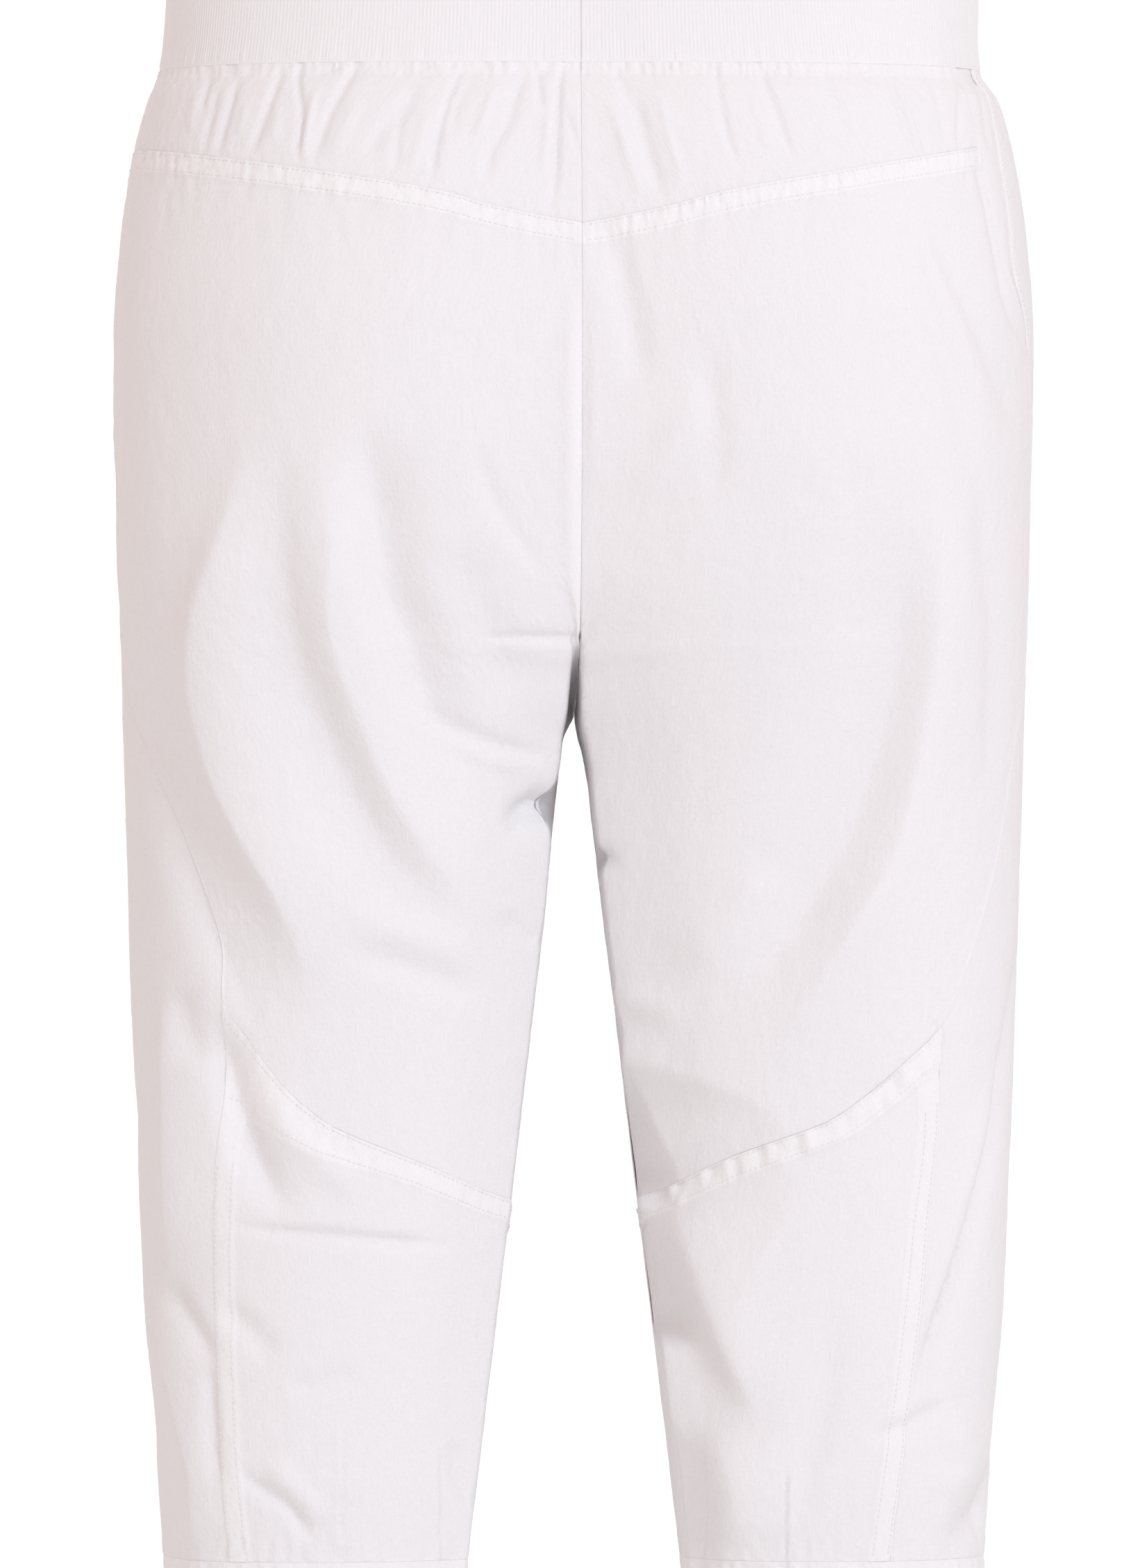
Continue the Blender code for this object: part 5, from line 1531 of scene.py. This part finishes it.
def make_waistband():
    """The rib-knit ring: each rib is a rounded wave of its outer face.

    The ribs' height is |sin| of the place around, so that crests are round and grooves
    narrow. The top edge is rolled over half the wall, and the ribs flatten towards the lower edge.
    """
    cut = bpy.context.scene.capri_cut
    points_per_rib = 4
    girth = whole_loop(WAIST_SEAM, 8)[2]
    ribs = int(round(girth / cut.rib_pitch / 2)) * 2
    count = ribs * points_per_rib
    foot = WAIST_SEAM - 0.02 * MM
    roll = cut.knit / 2
    turns = np.radians([22, 45, 68])
    drops = np.concatenate([
        roll * (1 - np.sin(turns)),
        [roll, 2.5 * MM, 5 * MM, 10 * MM],
        np.linspace(15 * MM, foot - 6 * MM, 8),
        foot - np.array([4.2, 2.8, 1.7, 0.8, 0]) * MM])
    rolled = np.concatenate([-roll * (1 - np.cos(turns)), np.zeros(len(drops) - len(turns))])
    share = np.arange(count) / count
    rib = np.abs(np.sin(np.pi * ribs * share + np.pi / 4)) ** 0.7
    around = share * girth
    outer = []
    inner = []
    for drop, back in zip(drops, rolled):
        points, normals, _ = whole_loop(drop, count)
        waves = 0.35 * MM * noise(around / (22 * MM), np.full(count, drop / (30 * MM)), 21)
        waves = waves * rise(foot - drop, 0, 8)
        near_foot = bell(foot - drop - 4 * MM, 2.6 * MM)
        gather = 0.4 * MM * streaks(around / (2.6 * MM), np.zeros(count), 22) * near_foot
        nip = WAIST_NIP * rise(drop, 4, 52) * rise(-points[:, 0], 190, 25)
        body = waves + gather - nip
        ribbed = rib * cut.rib_height * (1 - 0.9 * math.exp(-((foot - drop) / (2.5 * MM)) ** 2))
        outer.append(points + normals * (body + back + ribbed)[:, None])
        inner.append((points + normals * (body - cut.knit - back)[:, None])[::2])
    outer = np.array(outer)
    inner = np.array(inner)[::2]
    cloth = np.stack(np.broadcast_arrays(around[None, :], drops[:, None]), axis=-1)
    doubled = np.zeros(outer.shape[:2])
    piece = closed_wall("waistband_knit", outer, inner, cloth, doubled, rib_knit(), ring=True)
    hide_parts("waistband")


def make_yoke(side):
    """Half of the gathered back yoke, with a puckered strip under the waist seam."""
    edge = seam_line(LONG_SEAM, side, 0, YOKE_STATION)
    seat = edge_line(0.0, WAIST_SEAM, YOKE_SEAM["below"][0])
    top = level_line(0.0, edge[0, 0], WAIST_SEAM)
    left, right = [
        on_line(line, graded(line_length(line), STRIP_EDGE, PLAIN_EDGE, 44)) for line in (seat, edge)]
    rows = spanned(top, yoke_seam_line(side), left, right)
    grid = columns_of(rows, PLAIN_EDGE, PLAIN_EDGE, 224)
    across = lengths_along(grid, 1)
    down = lengths_along(grid, 0)
    up = down[-1] - down
    beyond = across[:, -1:] - across
    height = surface_height(side, grid)
    height += seam_groove(up, 0.3 * MM)
    height += seam_groove(across, 0.5 * MM) + seam_groove(beyond, 0.5 * MM)
    height += puckers(across, down + 0.4 * MM, 3.6 * MM, 0.75 * MM, 11 * MM, seed_for(side, 31))
    height += puckers(across, up, 3.7 * MM, 0.3 * MM, 9 * MM, seed_for(side, 35))
    doubled = 0.5 * (1 - rise(down, 6, 3))
    piece = panel_piece("yoke_back", side, grid, height, doubled, (WAIST_SEAM + LEVEL_GAP, None))


def make_upper_back(side):
    """Seat and thigh, from the V seam to the curved seam."""
    edge = seam_line(LONG_SEAM, side, YOKE_STATION, JUNCTION_STATION)
    seat = edge_line(0.0, YOKE_SEAM["below"][0], KNEE_SEAM_END)
    rows, from_top = banded_rows(
        yoke_seam_line(side), curved_seam_line(side), seat, edge, PLAIN_EDGE, 217)
    grid = columns_of(rows, PLAIN_EDGE, PLAIN_EDGE, 208)
    below = grid[1]
    across = lengths_along(grid, 1)
    down = from_top[:, None] + 0 * across
    beyond = across[:, -1:] - across
    height = surface_height(side, grid)

    # The band is flatter where it runs out towards the left hip.
    full = rise(beyond, 18, 42) if side == "left" else 1.0
    height += stitched_band(down) * (0.4 + 0.6 * full) + seam_groove(down, 0.3 * MM)
    drawn = puckers(across, down, 3.4 * MM, 0.75 * MM, 13.5 * MM, seed_for(side, 41))
    height += drawn * (0.3 + 0.7 * full)
    below_band = rise(down, 9, 5) * (1 - rise(down, 14, 30))
    height += 0.8 * MM * streaks(across / (6 * MM), down / (40 * MM), 45) * below_band

    # Below the pocket's mouth the outer edge lies over the front's.
    below_mouth = rise(below - MOUTH_FOOT, 0, 20)
    height += seam_groove(across, 0.6 * MM) + seam_groove(beyond, 0.5 * MM) * (1 - below_mouth)
    height += 0.55 * MM * bell(beyond, 2.4 * MM) * below_mouth

    band_width = bpy.context.scene.capri_cut.band_width
    doubled = (1 - rise(down - band_width, 0, 1)) * (0.35 + 0.65 * full)
    if side == "right":
        doubled = doubled * (0.3 + 0.7 * rise(beyond, 4, 12))

    # The seat seam's allowance lies under the left half, and the right half dips beside it.
    low = rise(below, 150, 90) * (1 - rise(below - CROTCH, 0, 8))
    if side == "left":
        height += 1.5 * MM * low * bell(across - 5.5 * MM, 4.2 * MM)
        doubled = np.maximum(doubled, 0.9 * low * (1 - rise(across, 7, 4)))
    else:
        high = 1 - rise(below, 250, 80)
        height -= 1.3 * MM * low * high * bell(across - 1.5 * MM, 3 * MM)
    piece = panel_piece("back_upper", side, grid, height, doubled)


def make_lower_back(side):
    """Calf, from the curved seam to the hem seam, with a band beside the vertical seam."""
    edge = seam_line(VERTICAL_SEAM, side, 0, len(VERTICAL_SEAM["left_below"]) - 1)
    inseam = edge_line(0.0, KNEE_SEAM_END, HEM_SEAM)
    bottom = level_line(0.0, edge[0, -1], HEM_SEAM)
    rows, from_top = banded_rows(curved_seam_line(side), bottom, inseam, edge, BAND_EDGE, 100)
    grid = columns_of(rows, PLAIN_EDGE, BAND_EDGE, 115)
    across = lengths_along(grid, 1)
    down = from_top[:, None] + 0 * across
    up = HEM_SEAM - grid[1]
    beyond = seam_distance(grid, edge)
    height = surface_height(side, grid)
    height += np.maximum(stitched_band(down), stitched_band(beyond))
    height += seam_groove(across, 0.6 * MM) + seam_groove(beyond, 0.5 * MM)

    # The curved seam draws the cloth in harder on the right leg.
    pitch, depth = (6 * MM, 0.5 * MM) if side == "left" else (10.5 * MM, 1.9 * MM)
    height += puckers(across, down, pitch, depth, 12.5 * MM, 51)
    height -= 0.5 * MM * bell(down - 13 * MM, 2 * MM) * (side == "right")
    height += puckers(across, up, 5.5 * MM, 0.55 * MM, 14 * MM, seed_for(side, 53))

    band_width = bpy.context.scene.capri_cut.band_width
    upper_band, outer_band = [1 - rise(distance - band_width, 0, 1) for distance in (down, beyond)]
    doubled = np.maximum(upper_band, 0.7 * outer_band)
    piece = panel_piece("back_lower", side, grid, height, doubled, (None, HEM_SEAM - LEVEL_GAP))


def mouth_offset(below):
    """Distance from the side seam forward to the mouth's edge: half a parabola."""
    share = np.clip((below - WAIST_SEAM) / (MOUTH_FOOT - WAIST_SEAM), 0.0, 1.0)
    return MOUTH_WIDTH * (1 - share ** 2)


@functools.cache
def outer_seam(side):
    """The long seam down to its junction, then the vertical seam to the hem."""
    upper = seam_line(LONG_SEAM, side, 0, JUNCTION_STATION)
    lower = seam_line(VERTICAL_SEAM, side, 0, len(VERTICAL_SEAM["left_below"]) - 1)
    return np.concatenate([upper, lower[:, 1:]], axis=1)


def make_front(side):
    """The front with the side panel, cut away at the pocket's mouth."""
    below = WAIST_SEAM + graded(HEM_SEAM - WAIST_SEAM, PLAIN_EDGE, BAND_EDGE, 322)
    seam = outer_seam(side)
    start = np.interp(below, seam[1], seam[0])
    start = place_at(cloth_length(start, below) + mouth_offset(below), below)
    share = np.linspace(0, 1, 161)
    around = start[:, None] + (1 - start)[:, None] * share
    rows = np.stack([around, np.broadcast_to(below[:, None], around.shape)])
    grid = columns_of(rows, MOUTH_EDGE, PLAIN_EDGE, 144)
    across = lengths_along(grid, 1)
    down = grid[1] - WAIST_SEAM
    up = HEM_SEAM - grid[1]
    beyond = across[:, -1:] - across
    length = cloth_length(*grid)
    height = surface_height(side, grid)
    height += seam_groove(beyond, 0.7 * MM)
    height += puckers(length, down, 4.6 * MM, 0.5 * MM, 9 * MM, 61)
    height += puckers(length, up, 5.5 * MM, 0.55 * MM, 14 * MM, 63)
    at_mouth = 1 - rise(grid[1] - MOUTH_FOOT, 0, 6)
    turned = 1 - rise(across, 6.4, 1.2)
    height += at_mouth * (0.25 * MM * turned - 0.15 * MM * bell(across - MOUTH_STITCH, 0.8 * MM))
    height += at_mouth * seam_groove(across, 0.6 * MM)
    doubled = np.maximum(0.9 * at_mouth * turned, 0.5 * (1 - rise(down, 6, 3)))
    level = (WAIST_SEAM + LEVEL_GAP, HEM_SEAM - LEVEL_GAP)
    piece = panel_piece("front", side, grid, height, doubled, level)


def make_pocket(side):
    """The hip piece in the mouth, sunk under the panels beside it."""
    seam = outer_seam(side)
    below = np.linspace(WAIST_SEAM, MOUTH_FOOT + POCKET_LAP, 75)
    middle = cloth_length(np.interp(below, seam[1], seam[0]), below)
    start = (middle - POCKET_LAP)[:, None]
    width = mouth_offset(below)[:, None]
    length = start + (width + 2 * POCKET_LAP) * np.linspace(0, 1, 31)
    level = np.broadcast_to(below[:, None], length.shape)
    grid = np.stack([place_at(length, level), level])
    inside = np.clip((length - start - POCKET_LAP) / np.maximum(width, 1 * MM), 0, 1)
    height = surface_height(side, grid) - POCKET_SINK + 0.8 * MM * np.sin(np.pi * inside)
    top = WAIST_SEAM + 5 * LEVEL_GAP
    piece = panel_piece("pocket", side, grid, height, np.zeros_like(height), (top, None))


def make_hem_band(side):
    """A ring of doubled cloth under one leg, drawn into uneven shallow waves.

    The lower edge is rolled over half the wall.
    """
    cut = bpy.context.scene.capri_cut
    count = 440
    roll = cut.hem / 2
    turns = np.radians([68, 45, 22])
    drops = np.concatenate([
        HEM_SEAM + LEVEL_GAP + np.array([0, 0.7, 1.5, 2.5, 4, 6, 8, 10, 12, 14]) * MM,
        [HEM_EDGE - roll],
        HEM_EDGE - roll * (1 - np.sin(turns)),
        [HEM_EDGE - 0.02 * MM]])
    rolled = np.concatenate([np.zeros(11), -roll * (1 - np.cos(turns)), [-roll * 0.8]])[:, None]
    foot = np.full(count, HEM_EDGE)
    around = place_at(np.arange(count) / count * half_girth(foot), foot)
    grid = np.stack(np.broadcast_arrays(around[None, :], drops[:, None]))
    under_seam = grid[1] - HEM_SEAM
    length = cloth_length(*grid)
    fade = rise(length, 0, 20) * rise(half_girth(grid[1]) - length, 0, 20) * rise(under_seam, 0, 4)
    waves = streaks(length / (4.2 * MM), under_seam / (22 * MM), seed_for(side, 71))
    hung = surface_height(side, (around, np.full(count, HEM_SEAM)))
    waves = 0.9 * MM * waves * fade + hung * (1 - rise(under_seam, 0, 15))
    base = half_form(*grid) + hang(side, *grid)
    normal = half_normal(*grid)
    normal[..., 2] = 0
    normal = unit(normal)
    outer = (base + normal * (waves + rolled)[..., None]) * MIRROR[side]
    inner = (base + normal * (waves - cut.hem - rolled)[..., None]) * MIRROR[side]
    cloth = np.stack([length, grid[1]], axis=-1)
    doubled = np.full(length.shape, 0.6)
    piece = closed_wall(
        "hem_band_cloth_" + side, outer, inner[::2, ::2], cloth, doubled, cotton(),
        ring=True, flipped=side == "right")
    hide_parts("hem_band_" + side)


def row_at(values, distances, at):
    """The row of a grid at a distance between its rows' distances."""
    k = int(np.clip(np.searchsorted(distances, at) - 1, 0, len(distances) - 2))
    share = (at - distances[k]) / (distances[k + 1] - distances[k])
    return values[k] * (1 - share) + values[k + 1] * share


def stitches(points, normals):
    """Small thread loops along a line: vertices and faces of all of them.

    A stitch has four rings of five points. Its ends dip into the cloth.
    """
    cut = bpy.context.scene.capri_cut
    length = run_length(points)
    pitch = cut.stitch_length + cut.stitch_space
    starts = np.arange(0.5 * pitch, length[-1] - pitch, pitch)
    shares = np.array([0.0, 0.22, 0.78, 1.0])
    radii = np.array([0.45, 1.0, 1.0, 0.45]) * cut.thread_width / 2
    lift = np.array([-0.25, 0.3, 0.3, -0.25]) * cut.thread_width + STITCH_LIFT
    at = starts[:, None] + shares * cut.stitch_length
    place = taken_at(at, length, points)
    out = unit(taken_at(at, length, normals))
    way = unit(place[:, 3] - place[:, 0])[:, None, :]
    across = unit(np.cross(way, out))
    turn = np.arange(5) / 5 * 2 * np.pi
    ring = across[:, :, None, :] * np.cos(turn)[:, None] + out[:, :, None, :] * np.sin(turn)[:, None]
    centre = place + out * lift[:, None]
    tube = centre[:, :, None, :] + ring * radii[:, None, None]
    first = (np.arange(len(starts)) * 20)[:, None, None]
    ring_start = (np.arange(3) * 5)[None, :, None]
    i = np.arange(5)[None, None, :]
    k = (i + 1) % 5
    corners = [first + ring_start + c for c in (i, i + 5, k + 5, k)]
    four = np.stack([c.ravel() for c in np.broadcast_arrays(*corners)], axis=1)
    caps = (np.arange(len(starts)) * 20)[:, None]
    five = np.concatenate([caps + np.arange(5), caps + 15 + np.arange(4, -1, -1)])
    return tube.reshape(-1, 3), four, five


def sewn(name, lines):
    """One mesh with the stitches of several lines, each given as points and normals."""
    points = []
    faces = ([], [])
    count = 0
    for line, normals in lines:
        tube, *kinds = stitches(line, normals)
        points.append(tube)
        for listed, kind in zip(faces, kinds):
            listed.append(kind + count)
        count += len(tube)
    faces = [np.concatenate(kind) for kind in faces]
    piece = make_piece(name, np.concatenate(points), faces, thread())
    return piece


def make_stitching():
    """Two rows on every stitched band and one at the pocket mouths."""
    cut = bpy.context.scene.capri_cut
    insets = (cut.stitch_inset, cut.band_width - cut.stitch_inset)
    bands = len(BAND_EDGE)
    for side in SIDES:
        upper = FINISHED["back_upper_" + side]
        lower = FINISHED["back_lower_" + side]
        front = FINISHED["front_" + side]
        lines = []
        for panel in (upper, lower):
            for at in insets:
                lines.append([row_at(grid[:bands], BAND_EDGE, at)[3:-3] for grid in panel])
        for at in insets:
            columns = [grid[:, ::-1].swapaxes(0, 1)[:bands] for grid in lower]
            lines.append([row_at(grid, BAND_EDGE, at)[22:-2] for grid in columns])
        above_foot = -front[0][:, 0, 2] < MOUTH_FOOT
        columns = [grid[above_foot, :len(MOUTH_EDGE)].swapaxes(0, 1) for grid in front]
        lines.append([row_at(grid, MOUTH_EDGE, MOUTH_STITCH)[2:] for grid in columns])
        sewn("stitches_" + side, lines)


def make_studio():
    """A pale floor, even light with a soft key over the right hip, and the camera."""
    studio = bpy.context.scene.capri_studio
    scene = bpy.context.scene
    scene.view_settings.view_transform = "Standard"
    corners = 96
    turn = np.arange(corners) / corners * 2 * np.pi
    level = np.full(corners, -studio.floor_drop)
    disc = np.stack([FLOOR_RADIUS * np.cos(turn), FLOOR_RADIUS * np.sin(turn), level], axis=-1)
    mesh = bpy.data.meshes.new("floor")
    mesh.from_pydata(disc.tolist(), [], [list(range(corners))])
    paper, tree, shader = new_material("pale_floor")
    set_inputs(tree, shader, Base_Color=(0.86, 0.86, 0.86, 1.0), Roughness=0.9)
    mesh.materials.append(paper)
    floor = bpy.data.objects.new("floor", mesh)
    scene.collection.objects.link(floor)

    world = bpy.data.worlds.new("studio_sky")
    world.use_nodes = True
    tree = world.node_tree
    sky = tree.nodes["Background"]
    set_inputs(tree, sky, Color=(1.0, 0.892, 0.85, 1.0), Strength=studio.sky)
    seen = add_node(tree, "ShaderNodeBackground", Color=(1.0, 1.0, 1.0, 1.0), Strength=1.1)
    by_camera = tree.nodes.new("ShaderNodeLightPath").outputs["Is Camera Ray"]
    blend = tree.nodes.new("ShaderNodeMixShader")
    for socket, value in zip(blend.inputs, (by_camera, sky.outputs[0], seen.outputs[0])):
        feed(tree, socket, value)
    set_inputs(tree, tree.nodes["World Output"], Surface=blend.outputs[0])
    scene.world = world

    middle = Vector((0, 0, -studio.view_top - studio.view_height / 2))
    for name, place, power, colour in (
            ("key_light", (-3.2, 6.4, 2.9), studio.key, (0.70, 0.86, 1.0)),
            ("front_light", (0.4, -6.2, 3.4), studio.front_fill, (0.50, 0.90, 1.0))):
        light = bpy.data.lights.new(name, "AREA")
        light.shape = "DISK"
        light.size = 2.4
        light.energy = power
        light.color = colour
        lamp = bpy.data.objects.new(name, light)
        lamp.location = place
        lamp.rotation_euler = (middle - Vector(place)).to_track_quat("-Z", "Y").to_euler()
        lamp.visible_camera = False
        scene.collection.objects.link(lamp)

    camera = bpy.data.cameras.new("camera")
    camera.sensor_width = 36.0
    camera.lens = camera.sensor_width * studio.camera_distance / studio.view_height
    camera.clip_end = 100.0
    eye = bpy.data.objects.new("camera", camera)
    back = Vector((math.sin(studio.camera_turn), math.cos(studio.camera_turn), 0))
    eye.location = middle + back * studio.camera_distance
    eye.rotation_euler = (math.radians(90), 0, math.pi - studio.camera_turn)
    scene.collection.objects.link(eye)
    scene.camera = eye


def main():
    """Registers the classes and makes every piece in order."""
    register()
    for operator in OPERATORS:
        group, name = operator.bl_idname.split(".")
        getattr(getattr(bpy.ops, group), name)()


if __name__ == "__main__":
    main()
